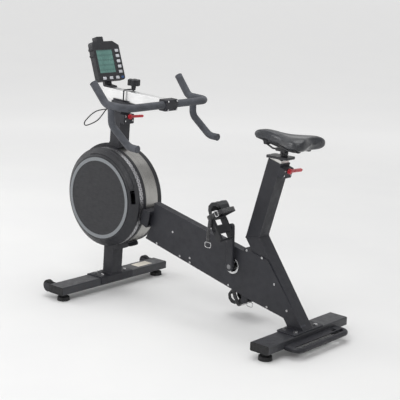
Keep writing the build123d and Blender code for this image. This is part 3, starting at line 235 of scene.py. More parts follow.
def moulded(name, colour, rough_low, rough_high, grain=900, depth=0.0003, coat=0.0):
    """Moulded plastic or rubber with a fine spark-eroded grain."""
    s = Shader(name)
    grains = s.cells(grain)
    base = s.mix(s.spread(s.noise(14, 4), 0, 1), tint(colour, 0.85), tint(colour, 1.2))
    dusty = s.mix(s.math("MULTIPLY", s.edges(), s.noise(60, 3)), base, tint(colour, 2.6))
    s.bumps((grains, 0.3, depth), (s.noise(60, 3), 0.06, 0.001))
    return s.finish(dusty, s.spread(s.noise(70, 4), rough_low, rough_high), coat=coat)


def brushed(name, colour, rough_low, rough_high, stretch, turn=(0, 0, 0)):
    """Metal with long fine scratches; stretch is how quickly they change along each axis."""
    s = Shader(name)
    lines = s.noise(1, 4, s.scaled(stretch, turn), 0.65)
    cloud = s.noise(12, 4)
    base = s.mix(s.spread(cloud, 0, 1), tint(colour, 0.86), tint(colour, 1.1))
    lined = s.mix(s.spread(lines, 0, 0.6), base, tint(colour, 0.72))
    s.bumps((lines, 0.18, 0.0003), (s.noise(80, 2), 0.04, 0.0005))
    return s.finish(lined, s.spread(lines, rough_low, rough_high), metal=1.0)


def webbing(name, colour):
    """Plain weave: warp and weft ribs with a soft sheen."""
    s = Shader(name)
    warp = s.wave(420, "Y")
    weft = s.wave(330, "DIAGONAL")
    weave = s.math("MULTIPLY", warp, weft)
    base = s.mix(s.spread(weave, 0, 1, 0.0, 0.8), tint(colour, 0.6), tint(colour, 1.7))
    fuzz = s.mix(s.spread(s.noise(1600, 2), 0, 0.6, 0.5, 0.75), base, tint(colour, 2.6))
    s.bumps((weave, 0.7, 0.0006), (s.noise(2200, 2), 0.2, 0.0002))
    return s.finish(fuzz, s.spread(weave, 0.75, 0.95, 0, 1), sheen=0.35)


def leather(name, colour):
    """Vinyl seat cover: pebbled grain with fine creases darkened by painted shade, and a low satin shine."""
    s = Shader(name)
    pebble = s.cells(620, feature="SMOOTH_F1")
    crease = s.cells(240, s.scaled((1, 1.6, 1)), "DISTANCE_TO_EDGE")
    base = s.mix(s.spread(s.noise(18, 5), 0, 1), tint(colour, 0.8), tint(colour, 1.35))
    # painted shade: the colour is darkened towards 0.45 of itself along the creases
    crease_shaded = s.mix(s.spread(crease, 0.45, 0, 0.0, 0.12), base, tint(colour, 0.45))
    s.bumps((pebble, 0.3, 0.0004), (crease, 0.15, 0.0005), (s.noise(30, 3), 0.1, 0.002))
    rough = s.spread(s.noise(160, 4), 0.26, 0.4)
    return s.finish(crease_shaded, rough, specular=0.5, coat=0.22, coat_rough=0.28, sheen=0.05)


def foam_grip(name, colour):
    """Closed-cell foam sleeve: tiny open pores darkened by painted shade, and a dusty bloom."""
    s = Shader(name)
    pores = s.cells(1300)
    base = s.mix(s.spread(s.noise(25, 5), 0, 1), tint(colour, 0.8), tint(colour, 1.3))
    # painted shade: the colour is darkened towards 0.4 of itself inside the pores
    pore_shaded = s.mix(s.spread(pores, 0.7, 0, 0.0, 0.35), base, tint(colour, 0.4))
    s.bumps((pores, 0.55, 0.0005), (s.noise(90, 3), 0.12, 0.001))
    return s.finish(pore_shaded, s.spread(s.noise(200, 3), 0.62, 0.82), specular=0.35, sheen=0.1)


def disc_face(name):
    """Black disc with a fine level grain and a raised grey ring round its rim."""
    s = Shader(name)
    x, y, z = s.parts()
    along_x = s.math("POWER", s.math("SUBTRACT", x, DRUM.x), 2)
    along_z = s.math("POWER", s.math("SUBTRACT", z, DRUM.z), 2)
    radius = s.math("SQRT", s.math("ADD", along_x, along_z))
    inside = s.math("GREATER_THAN", radius, DISC_RING_RADIUS)
    ring = s.math("MULTIPLY", inside, s.math("LESS_THAN", y, DISC_RING_Y))
    grain = s.noise(1, 4, s.scaled((26, 26, 900)), 0.6)
    black = s.mix(s.spread(grain, 0, 1), (0.008, 0.0082, 0.010), (0.024, 0.0245, 0.029))
    grey = s.mix(s.spread(s.noise(500, 3), 0, 1), (0.17, 0.18, 0.19), (0.24, 0.255, 0.27))
    s.bumps((grain, 0.25, 0.0004), (s.noise(1100, 2), 0.08, 0.0003))
    return s.finish(s.mix(ring, black, grey), s.spread(s.noise(60, 4), 0.38, 0.55), specular=0.45)


def lcd(name):
    """Reflective display: grey-green field with faint darker rows of unlit segments."""
    row_pitch = 0.0215
    s = Shader(name)
    z = s.parts()[2]
    up = s.math("MULTIPLY", s.math("SUBTRACT", z, FACE_FOOT.z), 1 / cos(MONITOR_LEAN))
    rows = s.math("SINE", s.math("MULTIPLY", up, 2 * pi / row_pitch))
    band = s.spread(rows, 0, 0.55, 0.1, 0.75)
    cloud = s.mix(s.spread(s.noise(22, 3), 0, 1), (0.068, 0.165, 0.145), (0.095, 0.21, 0.185))
    shade = s.mix(band, cloud, (0.048, 0.118, 0.106))
    s.bumps((s.noise(900, 2), 0.04, 0.0002), (s.noise(1500, 1), 0.02, 0.0001))
    return s.finish(shade, s.spread(s.noise(35, 3), 0.2, 0.32), coat=0.5, coat_rough=0.08)


COLOURS = {
    # bar: the bars' own paint, lighter than the frame's, made lighter still as a painted sheen of the foot
    # bars' tops
    "frame": (0.017, 0.0174, 0.0222), "bar": (0.034, 0.035, 0.040), "black": (0.014, 0.0145, 0.018),
    "rubber": (0.011, 0.011, 0.012), "foam": (0.058, 0.062, 0.073), "vinyl": (0.013, 0.015, 0.020),
    "web": (0.012, 0.012, 0.014), "red": (0.42, 0.017, 0.028), "key": (0.46, 0.47, 0.5),
    "resin": (0.011, 0.0115, 0.0135),
}
BEAM_TURN = (0, MAST_LEAN, 0)
SKIN = {
    "frame_paint": powder_coat("frame_paint_skin", COLOURS["frame"], 0.42, 0.6),
    "bar_paint": powder_coat("bar_paint_skin", COLOURS["bar"], 0.3, 0.44, 1900),
    "band_steel": brushed("band_steel_skin", (0.45, 0.442, 0.425), 0.24, 0.42, (7, 1400, 7)),
    "mesh_steel": brushed("mesh_steel_skin", (0.56, 0.56, 0.58), 0.3, 0.45, (60, 60, 60)),
    "bright_steel": brushed("bright_steel_skin", (0.62, 0.62, 0.63), 0.12, 0.25, (200, 200, 60)),
    "tool_steel": brushed("tool_steel_skin", (0.26, 0.262, 0.27), 0.3, 0.45, (90, 600, 90)),
    "aluminium": brushed("aluminium_skin", (0.92, 0.92, 0.915), 0.3, 0.46, (6, 900, 900), BEAM_TURN),
    "black_plastic": moulded("black_plastic_skin", COLOURS["black"], 0.42, 0.6),
    "disc_black": disc_face("disc_face_skin"),
    "rubber": moulded("rubber_skin", COLOURS["rubber"], 0.62, 0.85, 700, 0.0004),
    "grip_foam": foam_grip("grip_foam_skin", COLOURS["foam"]),
    "belt_rubber": moulded("belt_rubber_skin", (0.01, 0.01, 0.011), 0.6, 0.8, 500, 0.0005),
    "seat_vinyl": leather("seat_vinyl_skin", COLOURS["vinyl"]),
    "strap_web": webbing("strap_web_skin", COLOURS["web"]),
    "red_plastic": moulded("red_plastic_skin", COLOURS["red"], 0.25, 0.36, 1200, 0.0001, coat=0.35),
    "key_rubber": moulded("key_rubber_skin", COLOURS["key"], 0.5, 0.7, 1300, 0.0002),
    "lcd_glass": lcd("lcd_glass_skin"),
    "resin": moulded("resin_skin", COLOURS["resin"], 0.4, 0.58, 1000, 0.0004),
}


def post_metal():
    """Silver post whose top plate is painted black."""
    s = Shader("seat_post_skin")
    z = s.parts()[2]
    plate = s.math("GREATER_THAN", z, POST_PLATE_Z)
    lines = s.noise(1, 4, s.scaled((700, 700, 8), (0, -SEAT_LEAN, 0)), 0.6)
    silver = s.mix(s.spread(lines, 0, 1), (0.60, 0.59, 0.57), (0.76, 0.75, 0.73))
    colour = s.mix(plate, silver, COLOURS["black"])
    s.bumps((lines, 0.15, 0.0003), (s.noise(90, 2), 0.05, 0.0005))
    material = s.finish(colour, s.spread(lines, 0.3, 0.45))
    s.links.new(s.math("SUBTRACT", 1.0, plate), s.skin.inputs["Metallic"])
    return material


BLACKENED = moulded("blackened_steel_skin", (0.018, 0.018, 0.02), 0.3, 0.42, 1500, 0.0001)
# CAD nodes whose look differs from their slot's
OWN_SKIN = {"seat_post": post_metal(), "saddle_clamp": BLACKENED, "saddle_rails": BLACKENED}
for name, node in NODES.items():
    for place in node.material_slots:
        place.material = OWN_SKIN.get(name) or SKIN[place.material.name.split(".")[0]]


# ------------------------------------------------------------ piece helpers
def new_piece(name, mesh, slot, body, skin=None, smooth=True):
    """Object that wears its slot's material, or its own skin, and rides a body."""
    piece = bpy.data.objects.new(name, mesh)
    bpy.context.scene.collection.objects.link(piece)
    mesh.materials.append(skin or SKIN[slot])
    if smooth:
        mesh.shade_smooth()
    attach(piece, body)
    return piece


def rings_mesh(name, rings, closed=False, capped=True):
    """Skin over rings of equal point counts; rings join end to end when closed."""
    count = len(rings[0])
    points = [p for ring in rings for p in ring]
    faces = []
    last = len(rings) if closed else len(rings) - 1
    for r in range(last):
        a, b = r * count, ((r + 1) % len(rings)) * count
        for k in range(count):
            n = (k + 1) % count
            faces.append((a + k, a + n, b + n, b + k))
    if capped and not closed:
        faces.append(tuple(reversed(range(count))))
        faces.append(tuple((len(rings) - 1) * count + k for k in range(count)))
    mesh = bpy.data.meshes.new(name)
    mesh.from_pydata([tuple(p) for p in points], [], faces)
    tidy = bmesh.new()
    tidy.from_mesh(mesh)
    bmesh.ops.recalc_face_normals(tidy, faces=tidy.faces)
    tidy.to_mesh(mesh)
    tidy.free()
    return mesh


def swept(name, path, section, closed=False, up=UP):
    """Sweep a flat section (pairs: across, outward) along a path of points."""
    rings = []
    for k, point in enumerate(path):
        before = path[k - 1] if k or closed else path[k]
        after = path[(k + 1) % len(path)] if k + 1 < len(path) or closed else path[k]
        along = (after - before).normalized()
        side = along.cross(up).normalized()
        out = side.cross(along)
        rings.append([point + side * a + out * b for a, b in section])
    return rings_mesh(name, rings, closed)


def round_section(radius, count):
    return [(radius * cos(2 * pi * k / count), radius * sin(2 * pi * k / count)) for k in range(count)]


def lathe(name, centre, axis, profile, count=24):
    """Turn a profile of (radius, along) pairs round an axis."""
    axis = axis.normalized()
    side = axis.orthogonal().normalized()
    up = axis.cross(side)
    rings = []
    for radius, along in profile:
        ring = []
        for k in range(count):
            turn = 2 * pi * k / count
            ring.append(centre + axis * along + (side * cos(turn) + up * sin(turn)) * radius)
        rings.append(ring)
    return rings_mesh(name, rings)


def merged(name, meshes):
    """One mesh of several, which are removed."""
    shape = bmesh.new()
    for mesh in meshes:
        shape.from_mesh(mesh)
        bpy.data.meshes.remove(mesh)
    whole = bpy.data.meshes.new(name)
    shape.to_mesh(whole)
    shape.free()
    return whole


def rounded(centre, wide, tall, half_wide, half_tall, radius, count=5):
    """Points round a rectangle with rounded corners."""
    points = []
    for a, b, start in ((1, 1, 0), (-1, 1, 90), (-1, -1, 180), (1, -1, 270)):
        for k in range(count):
            turn = radians(start + 90 * k / (count - 1))
            points.append(centre + wide * (a * (half_wide - radius) + radius * cos(turn))
                          + tall * (b * (half_tall - radius) + radius * sin(turn)))
    return points


def mast(out, along, y=0.0):
    """Point in the mast's own directions: 'out' behind its axis, 'along' above the drum axis."""
    return Vector((DRUM.x + out * cos(MAST_LEAN) + along * sin(MAST_LEAN), y,
                   DRUM.z + along * cos(MAST_LEAN) - out * sin(MAST_LEAN)))


FACE_NORMAL = Vector((cos(MONITOR_LEAN), 0, sin(MONITOR_LEAN)))
FACE_RISE = Vector((-sin(MONITOR_LEAN), 0, cos(MONITOR_LEAN)))


def face_point(across, up):
    """Point on the monitor's face."""
    return FACE_FOOT + Vector((0, across, 0)) + FACE_RISE * up


# ------------------------------------------------------------ sensor cable
CABLE_DIAMETER = 0.005
CABLE = [(-0.4696, -0.006, 0.806), (-0.500, -0.006, 0.805), (-0.545, -0.006, 0.797), (-0.588, -0.006, 0.786),
         (-0.619, -0.007, 0.768), (-0.640, -0.008, 0.750), (-0.657, -0.009, 0.734), (-0.665, -0.010, 0.722),
         (-0.659, -0.012, 0.712), (-0.643, -0.013, 0.714), (-0.616, -0.014, 0.724), (-0.574, -0.015, 0.744),
         (-0.545, -0.016, 0.772), (-0.520, -0.017, 0.801), (-0.4945, -0.017, 0.816), (-0.4691, -0.017, 0.819)]


RELIEF_PROFILE = [(0.0052, 0.0002), (0.0054, 0.002), (0.0046, 0.003), (0.0045, 0.0055), (0.0040, 0.0062),
                  (0.0039, 0.0085), (0.0034, 0.0092), (0.0033, 0.0115), (0.0029, 0.0122), (0.0026, 0.014)]


def sensor_cable():
    """Thin cable that leaves the post's front face, loops forward and returns to it."""
    data = bpy.data.curves.new("cable_run", "CURVE")
    data.dimensions = "3D"
    data.bevel_depth = CABLE_DIAMETER / 2
    data.bevel_resolution = 5
    data.resolution_u = 10
    data.use_fill_caps = True
    line = data.splines.new("NURBS")
    line.points.add(len(CABLE) - 1)
    for point, place in zip(line.points, CABLE):
        point.co = (*place, 1)
    line.order_u = 3
    line.use_endpoint_u = True
    piece = bpy.data.objects.new("cable_run", data)
    bpy.context.scene.collection.objects.link(piece)
    data.materials.append(SKIN["rubber"])
    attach(piece, "bar_post")
    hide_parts("sensor_cable")
    for k, (end, inner) in enumerate(((CABLE[0], CABLE[1]), (CABLE[-1], CABLE[-2]))):
        start = Vector(end)
        mesh = lathe(f"cable_relief_{k}", start, Vector(inner) - start, RELIEF_PROFILE, 20)
        new_piece(f"cable_relief_{k}", mesh, "rubber", "bar_post")


sensor_cable()


# ------------------------------------------------------------ saddle
NOSE, TAIL = 0.296, 0.584
SEAM_LEVEL = 0.5
SEAM_DEPTH = 0.0013
SEAM_HALF = 0.004
VOXEL = 0.005
PRESSURE = 4
PUFF_FRAMES = 20
PUFF_CAP = 0.003
STITCH_HALF = 0.0017
STITCH_RADIUS = 0.00045
# share of the length, half width, top, bottom edge, middle dip
SADDLE_STATIONS = [
    (0.00, 0.0080, 0.8090, 0.8000, 0.0000), (0.015, 0.0155, 0.8165, 0.7950, 0.0000),
    (0.05, 0.0205, 0.8215, 0.7915, 0.0000), (0.12, 0.0240, 0.8250, 0.7880, 0.0000),
    (0.24, 0.0270, 0.8250, 0.7840, 0.0005), (0.36, 0.0300, 0.8215, 0.7800, 0.0015),
    (0.48, 0.0390, 0.8180, 0.7765, 0.0030), (0.58, 0.0540, 0.8165, 0.7740, 0.0045),
    (0.68, 0.0720, 0.8175, 0.7715, 0.0055), (0.78, 0.0870, 0.8195, 0.7705, 0.0060),
    (0.88, 0.0945, 0.8210, 0.7710, 0.0055), (0.95, 0.0900, 0.8205, 0.7730, 0.0040),
    (0.985, 0.0780, 0.8165, 0.7790, 0.0020), (1.00, 0.0640, 0.8090, 0.7880, 0.0000),
]


def along_saddle(share):
    return NOSE + (TAIL - NOSE) * share


def outline(share):
    """Half width, top and low edge of the saddle at a share of its length."""
    for a, b in zip(SADDLE_STATIONS, SADDLE_STATIONS[1:]):
        if share <= b[0]:
            t = (share - a[0]) / (b[0] - a[0])
            return [a[n] + (b[n] - a[n]) * t for n in (1, 2, 3)]
    return list(SADDLE_STATIONS[-1][1:4])


def tail_notch(share, y):
    """How far the tail is drawn in between its two lobes."""
    return 0.020 * max(0, (share - 0.8) / 0.2) * max(0, 1 - (y / 0.05) ** 2)


def saddle_ring(share, half, top, low, dip, count=28):
    """Closed section: crowned top with a dip in its middle, rounded sides, flat underside."""
    x = along_saddle(share)
    middle = (top + low) / 2
    tall = (top - low) / 2
    ring = []
    for k in range(count):
        turn = 2 * pi * k / count
        c, s = cos(turn), sin(turn)
        power = 0.62 if s > 0 else 0.45
        y = half * (abs(c) ** power) * (1 if c > 0 else -1)
        z = middle + tall * (abs(s) ** (0.85 if s > 0 else 0.5)) * (1 if s > 0 else -1)
        if s > 0:
            z -= dip * max(0, 1 - (y / (half * 0.45)) ** 2)
        ring.append(Vector((x - tail_notch(share, y), y, z)))
    return ring


def applied(piece):
    """Bake the piece's modifiers into its mesh."""
    graph = bpy.context.evaluated_depsgraph_get()
    mesh = bpy.data.meshes.new_from_object(piece.evaluated_get(graph))
    piece.modifiers.clear()
    piece.data = mesh
    return mesh


def puffed(piece):
    """Remesh evenly, run cloth under pressure with capped moves, and smooth the result."""
    scene = bpy.context.scene
    remesh = piece.modifiers.new("even", "REMESH")
    remesh.mode = "VOXEL"
    remesh.voxel_size = VOXEL
    even = applied(piece)
    start = [v.co.copy() for v in even.vertices]
    cloth = piece.modifiers.new("puff", "CLOTH")
    cloth.settings.quality = 6
    cloth.settings.mass = 0.4
    cloth.settings.tension_stiffness = 40
    cloth.settings.compression_stiffness = 40
    cloth.settings.bending_stiffness = 8
    cloth.settings.use_pressure = True
    cloth.settings.uniform_pressure_force = PRESSURE
    cloth.settings.effector_weights.gravity = 0
    cloth.point_cache.frame_start = 1
    cloth.point_cache.frame_end = PUFF_FRAMES
    for step in range(1, PUFF_FRAMES + 1):
        scene.frame_set(step)
    graph = bpy.context.evaluated_depsgraph_get()
    moved = [v.co.copy() for v in piece.evaluated_get(graph).data.vertices]
    piece.modifiers.clear()
    scene.frame_set(1)
    for vertex, old, new in zip(even.vertices, start, moved):
        shift = new - old
        if shift.length > PUFF_CAP:
            shift *= PUFF_CAP / shift.length
        vertex.co = old + shift
    tidy = bmesh.new()
    tidy.from_mesh(even)
    for _ in range(4):
        bmesh.ops.smooth_vert(tidy, verts=tidy.verts, factor=0.5,
                              use_axis_x=True, use_axis_y=True, use_axis_z=True)
    tidy.to_mesh(even)
    tidy.free()


def saddle():
    """Padded seat in the place of the plain CAD saddle."""
    rings = [saddle_ring(*station) for station in SADDLE_STATIONS]
    mesh = rings_mesh("saddle_pad", rings)
    piece = new_piece("saddle_pad", mesh, "seat_vinyl", "saddle")
    rounder = piece.modifiers.new("round", "SUBSURF")
    rounder.levels = 2
    applied(piece)
    puffed(piece)
    groove_seam(piece.data)
    finer = piece.modifiers.new("finer", "SUBSURF")
    finer.levels = 1
    finer.render_levels = 1
    piece.data.shade_smooth()
    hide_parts("saddle")
    saddle_trim(piece)


def groove_seam(mesh):
    """Press the two long seams, where the top panel meets the sides, into the cover."""
    for vertex in mesh.vertices:
        share = (vertex.co.x - NOSE) / (TAIL - NOSE)
        half, top, low = outline(min(max(share, 0), 1))
        level = low + (top - low) * SEAM_LEVEL
        away = abs(vertex.co.z - level)
        if 0.05 < share < 0.97 and abs(vertex.co.y) > half * 0.6 and away < SEAM_HALF:
            vertex.co.y -= SEAM_DEPTH * (1 - away / SEAM_HALF) * (1 if vertex.co.y > 0 else -1)


def base_rim():
    """Hard edge of the shell, just under the cover."""
    sides = {}
    for side in (-1, 1):
        sides[side] = []
        for k in range(47):
            share = 0.05 + 0.84 * k / 46
            half, _, low = outline(share)
            sides[side].append(Vector((along_saddle(share), side * (half - 0.010), low + 0.0008)))
    tail = []
    for k in range(11):
        y = -0.06 + 0.012 * k
        tail.append(Vector((TAIL - 0.020 - tail_notch(1, y), y, 0.7765)))
    path = sides[-1] + tail + sides[1][::-1]
    section = [(-0.002, -0.0022), (0.002, -0.0022), (0.0026, 0.0), (0.002, 0.0022), (-0.002, 0.0022),
               (-0.0026, 0.0)]
    mesh = swept("saddle_base_rim", path, section, closed=True)
    new_piece("saddle_base_rim", mesh, "black_plastic", "saddle")


def stitches(pad):
    """Row of stitches just above each seam, laid on the puffed cover."""
    tree = BVHTree.FromObject(pad, bpy.context.evaluated_depsgraph_get())
    spots = []
    for side in (-1, 1):
        for k in range(44):
            share = 0.07 + 0.88 * k / 43
            _, top, low = outline(share)
            level = low + (top - low) * SEAM_LEVEL + 0.0035
            start = Vector((along_saddle(share), side * 0.2, level))
            hit, normal, _, _ = tree.ray_cast(start, Vector((0, -side, 0)))
            if hit:
                spots.append((hit, normal))
    rods = []
    for (place, normal), (after, _) in zip(spots, spots[1:]):
        gap = after - place
        if gap.length > 0.02:
            continue
        middle = place + gap * 0.5
        half = gap.normalized() * STITCH_HALF
        a = middle - half + normal * 0.0002
        axis = (middle + half + normal * 0.0002) - a
        length = axis.length
        profile = [(STITCH_RADIUS * 0.4, 0), (STITCH_RADIUS, length * 0.2), (STITCH_RADIUS, length * 0.8),
                   (STITCH_RADIUS * 0.4, length)]
        rods.append(lathe("rod", a, axis, profile, 6))
    new_piece("saddle_stitches", merged("saddle_stitches", rods), "strap_web", "saddle", THREAD)


def rail_socket(name, x, y, half_long, half_wide, low, high):
    """Rounded block under the saddle that holds the rails' ends, wider where it meets the shell."""
    rings = []
    for share, grow in ((0.0, 0.82), (0.06, 0.92), (0.16, 0.97), (0.6, 1.04), (0.85, 1.18), (1.0, 1.4)):
        centre = Vector((x, y, low + (high - low) * share))
        rings.append(rounded(centre, BACK, ACROSS, half_long * grow, half_wide * grow, 0.004))
    new_piece(name, rings_mesh(name, rings), "black_plastic", "saddle")


def saddle_trim(pad):
    base_rim()
    stitches(pad)
    rail_socket("rail_socket_front", 0.361, 0, 0.010, 0.0185, 0.769, 0.787)
    for side in (-1, 1):
        rail_socket(f"rail_socket_{side + 1}", 0.529, side * 0.034, 0.010, 0.0085, 0.7605, 0.7745)


THREAD = webbing("thread_skin", (0.03, 0.031, 0.034))
saddle()


# ------------------------------------------------------------ toe straps
# side, pitch of the pedal, length of the strap's free tail
PEDALS = {"left": (-1, radians(58), 0.105), "right": (1, radians(-28), 0.032)}
STRAP_X = -0.055
STRAP_THICK_HALF = 0.0009
LOOP_HALF, LOOP_LOW, LOOP_HIGH, LOOP_CORNER = 0.0456, -0.0144, 0.0702, 0.014


def pedal_point(side, pitch, x, y, across):
    """Point on a pedal: x to the heel, y away from the sole, across along the world's Y."""
    spindle = Vector((CRANK.x, side * 0.115, CRANK.z - side * 0.165))
    heel, rise = leaning(pitch)
    return spindle + heel * x + rise * y + Vector((0, across, 0))


def ribbon(name, path, outs, wide, half_wide, body, closed=False):
    """Flat webbing along a path; outs are its outward directions, wide its own sideways one."""
    section = [(-1, -0.8), (-0.5, -1), (0, -0.9), (0.5, -1), (1, -0.8), (1.04, 0),
               (1, 0.8), (0.5, 1), (0, 0.9), (-0.5, 1), (-1, 0.8), (-1.04, 0)]
    rings = []
    for point, out in zip(path, outs):
        rings.append([point + wide * a * half_wide + out * b * STRAP_THICK_HALF for a, b in section])
    return new_piece(name, rings_mesh(name, rings, closed), "strap_web", body)


def buckle(name, centre, wide, tall, half_wide, half_tall, body):
    """Wire ring in the shape of a rectangle with well rounded corners."""
    path = []
    for k in range(32):
        turn = 2 * pi * k / 32
        c, r = cos(turn), sin(turn)
        a = half_wide * abs(c) ** 0.5 * (1 if c > 0 else -1)
        b = half_tall * abs(r) ** 0.5 * (1 if r > 0 else -1)
        path.append(centre + wide * a + tall * b)
    mesh = swept(name, path, round_section(0.0017, 8), closed=True, up=wide.cross(tall))
    new_piece(name, mesh, "bright_steel", body)


def toe_strap(name):
    """Webbing loop round a pedal's cage, its cam buckle, and its free tail with a ring."""
    side, pitch, hang = PEDALS[name]
    body = f"{name}_pedal"
    heel, rise = leaning(pitch)
    across_in = LOOP_HALF - LOOP_CORNER
    path, outs = [], []
    corners = [(across_in, LOOP_HIGH - LOOP_CORNER, 0), (-across_in, LOOP_HIGH - LOOP_CORNER, 90),
               (-across_in, LOOP_LOW + LOOP_CORNER, 180), (across_in, LOOP_LOW + LOOP_CORNER, 270)]
    for across, up, start in corners:
        for k in range(9):
            turn = radians(start + 90 * k / 8)
            c, r = cos(turn), sin(turn)
            ripple = 0.0006 * sin(k * 2.1 + start)
            path.append(pedal_point(side, pitch, STRAP_X + ripple, up + LOOP_CORNER * r,
                                    across + LOOP_CORNER * c))
            outs.append(rise * r + Vector((0, c, 0)))
    loop = ribbon(f"{name}_toe_strap", path, outs, heel, 0.009, body, closed=True)
    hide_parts(f"{name}_strap")
    top = pedal_point(side, pitch, STRAP_X, 0.012, side * (LOOP_HALF + 0.0022))
    tail = []
    for k in range(15):
        t = k / 14
        tail.append(top + Vector((-0.006 * t, side * 0.004 * sin(t * 2.4), -hang * t)))
    ribbon(f"{name}_strap_tail", tail, [Vector((0, side, 0))] * len(tail), BACK, 0.008, body)
    buckle(f"{name}_buckle", tail[-1] + Vector((0, 0, -0.009)), BACK, UP, 0.015, 0.0105, body)
    cam = pedal_point(side, pitch, STRAP_X, 0.046, side * (LOOP_HALF + 0.0018))
    buckle(f"{name}_cam_buckle", cam, heel, rise, 0.0115, 0.0085, body)


for pedal_name in PEDALS:
    toe_strap(pedal_name)


# ------------------------------------------------------------ fasteners, welds, plugs and labels
def socket_bolts(name, spots, axis, radius, tall, body):
    """Socket cap screws with a chamfered head and a round recess, as one piece."""
    profile = [(radius, -0.0008), (radius, tall * 0.72), (radius * 0.86, tall), (radius * 0.52, tall),
               (radius * 0.5, tall * 0.35), (0.0003, tall * 0.3)]
    heads = [lathe("head", spot, axis, profile, 18) for spot in spots]
    new_piece(name, merged(name, heads), "bright_steel", body)


def weld_bead(name, corners, radius):
    """Rippled bead round a closed run of corner points."""
    step = 0.0022
    path = []
    for a, b in zip(corners, corners[1:] + corners[:1]):
        count = max(2, int((b - a).length / step))
        path += [a + (b - a) * (k / count) for k in range(count)]
    rings = []
    normal = (corners[1] - corners[0]).cross(corners[2] - corners[1]).normalized()
    for k, point in enumerate(path):
        along = (path[(k + 1) % len(path)] - path[k - 1]).normalized()
        side = along.cross(normal)
        swell = radius * (1.0 + 0.16 * sin(k * pi * 0.66) + 0.06 * sin(k * 1.7))
        rings.append([point + (side * cos(t) + normal * sin(t)) * swell
                      for t in (2 * pi * n / 8 for n in range(8))])
    new_piece(name, rings_mesh(name, rings, closed=True), "frame_paint", "frame")


def tube_corners(origin, out, half_out, half_side):
    signs = ((1, 1), (-1, 1), (-1, -1), (1, -1))
    return [origin + out * a * half_out + ACROSS * b * half_side for a, b in signs]


def welds():
    mast_out, _ = leaning(MAST_LEAN)
    _, seat_up = leaning(SEAT_LEAN)
    leg_down = Vector((sin(LEG_LEAN), 0, -cos(LEG_LEAN)))
    weld_bead("mast_foot_weld", tube_corners(mast(0, -0.3575), mast_out, 0.0288, 0.0318), 0.0026)
    weld_bead("mast_head_weld", tube_corners(mast(0, 0.2345), mast_out, 0.0284, 0.0314), 0.0022)
    across_bend = (seat_up + leg_down).normalized()
    weld_bead("bend_weld", tube_corners(FRAME_BEND, across_bend, 0.0345, 0.0311), 0.0018)


def bolts():
    """Screws of the stem clamp, and of the two lock brackets, whose heads stay below the levers."""
    bracket_depth = 0.0246
    mast_out, mast_up = leaning(MAST_LEAN)
    seat_out, seat_up = leaning(SEAT_LEAN)
    clamp = [mast(0.2962, 0.447 + z, y) for z in (-0.019, 0.017) for y in (-0.026, 0.026)]
    socket_bolts("stem_bolts", clamp, mast_out, 0.0043, 0.0032, "slide_beam")
    seat_rear = FRAME_BEND + seat_up * 0.299 + seat_out * (0.031 + bracket_depth)
    mast_rear = mast(0.028 + bracket_depth, 0.346)
    locks = (("seat", seat_rear, seat_out, seat_up), ("mast", mast_rear, mast_out, mast_up))
    for name, foot, out, up in locks:
        spots = [foot + ACROSS * y + up * z for y in (-0.022, 0.022) for z in (0.013, -0.007)]
        socket_bolts(f"{name}_lock_bolts", spots, out, 0.0038, 0.0003, "frame")


PLUG_PROFILE = [(0.0150, -0.002), (0.0166, -0.0008), (0.0168, 0.0012), (0.0150, 0.0030), (0.0095, 0.0040),
                (0.0088, 0.0034), (0.0004, 0.0034)]
HUB_PROFILE = [(0.0130, -0.0006), (0.0130, 0.0006), (0.0118, 0.0013), (0.0075, 0.0013), (0.0070, 0.0006),
               (0.0003, 0.0006)]


def turned(name, centre, axis, profile, count, slot, body):
    new_piece(name, lathe(name, centre, axis, profile, count), slot, body)


def plugs():
    """End plugs of the handlebar's horns and drops, and hub caps of the two wheels."""
    small_plug = [(radius * 0.94, along) for radius, along in PLUG_PROFILE]
    for k, wheel in ((-1, "left_wheel"), (1, "right_wheel")):
        tip = Vector((-0.349, k * 0.258, 0.948))
        along = tip - Vector((-0.280, k * 0.252, 0.8676))
        turned(f"horn_plug_{k + 1}", tip, along, PLUG_PROFILE, 28, "grip_foam", "slide_beam")
        end = Vector((-0.1022, k * 0.248, 0.7076))
        along = Vector((0.046, 0, -0.002)).normalized()
        turned(f"drop_plug_{k + 1}", end, along, small_plug, 28, "grip_foam", "slide_beam")
        hub = Vector((-0.564, k * 0.311, 0.048))
        turned(f"wheel_hub_{k + 1}", hub, ACROSS * k, HUB_PROFILE, 24, "rubber", wheel)


def plate(name, corner_points, normal, thick, slot, body, skin):
    """Thin blank label with a soft rounded rim."""
    inset = 0.0006
    centre = sum(corner_points, Vector()) / len(corner_points)
    rings = []
    for rise, pull in ((0.0, 0.0), (thick * 0.7, 0.0), (thick, inset)):
        rings.append([p + (centre - p).normalized() * pull + normal * rise for p in corner_points])
    new_piece(name, rings_mesh(name, rings), slot, body, skin, smooth=False)


def labels():
    """Blank patch on the monitor, blank label on the front foot bar, and the screen's bezel."""
    blue = moulded("blue_badge_skin", (0.02, 0.06, 0.17), 0.3, 0.45, 1500, 0.0001)
    corners = rounded(face_point(0.064, 0.0125), ACROSS, FACE_RISE, 0.0085, 0.0045, 0.0012)
    plate("monitor_badge", corners, FACE_NORMAL, 0.0005, "black_plastic", "monitor", blue)
    cream = moulded("cream_label_skin", (0.62, 0.58, 0.50), 0.5, 0.65, 1800, 0.0001)
    corners = rounded(Vector((-0.492, 0.203, FOOT_BAR_TOP)), BACK, ACROSS, 0.024, 0.046, 0.003)
    plate("foot_label", corners, UP, 0.0004, "bar_paint", "frame", cream)
    path = rounded(face_point(-0.0165, 0.086), ACROSS, FACE_RISE, 0.0485, 0.0515, 0.003, 6)
    section = [(-0.0012, -0.0004), (-0.0009, 0.0006), (0.0009, 0.0006), (0.0012, -0.0004)]
    mesh = swept("screen_bezel", path, section, closed=True, up=FACE_NORMAL)
    new_piece("screen_bezel", mesh, "black_plastic", "monitor", BLACKENED)


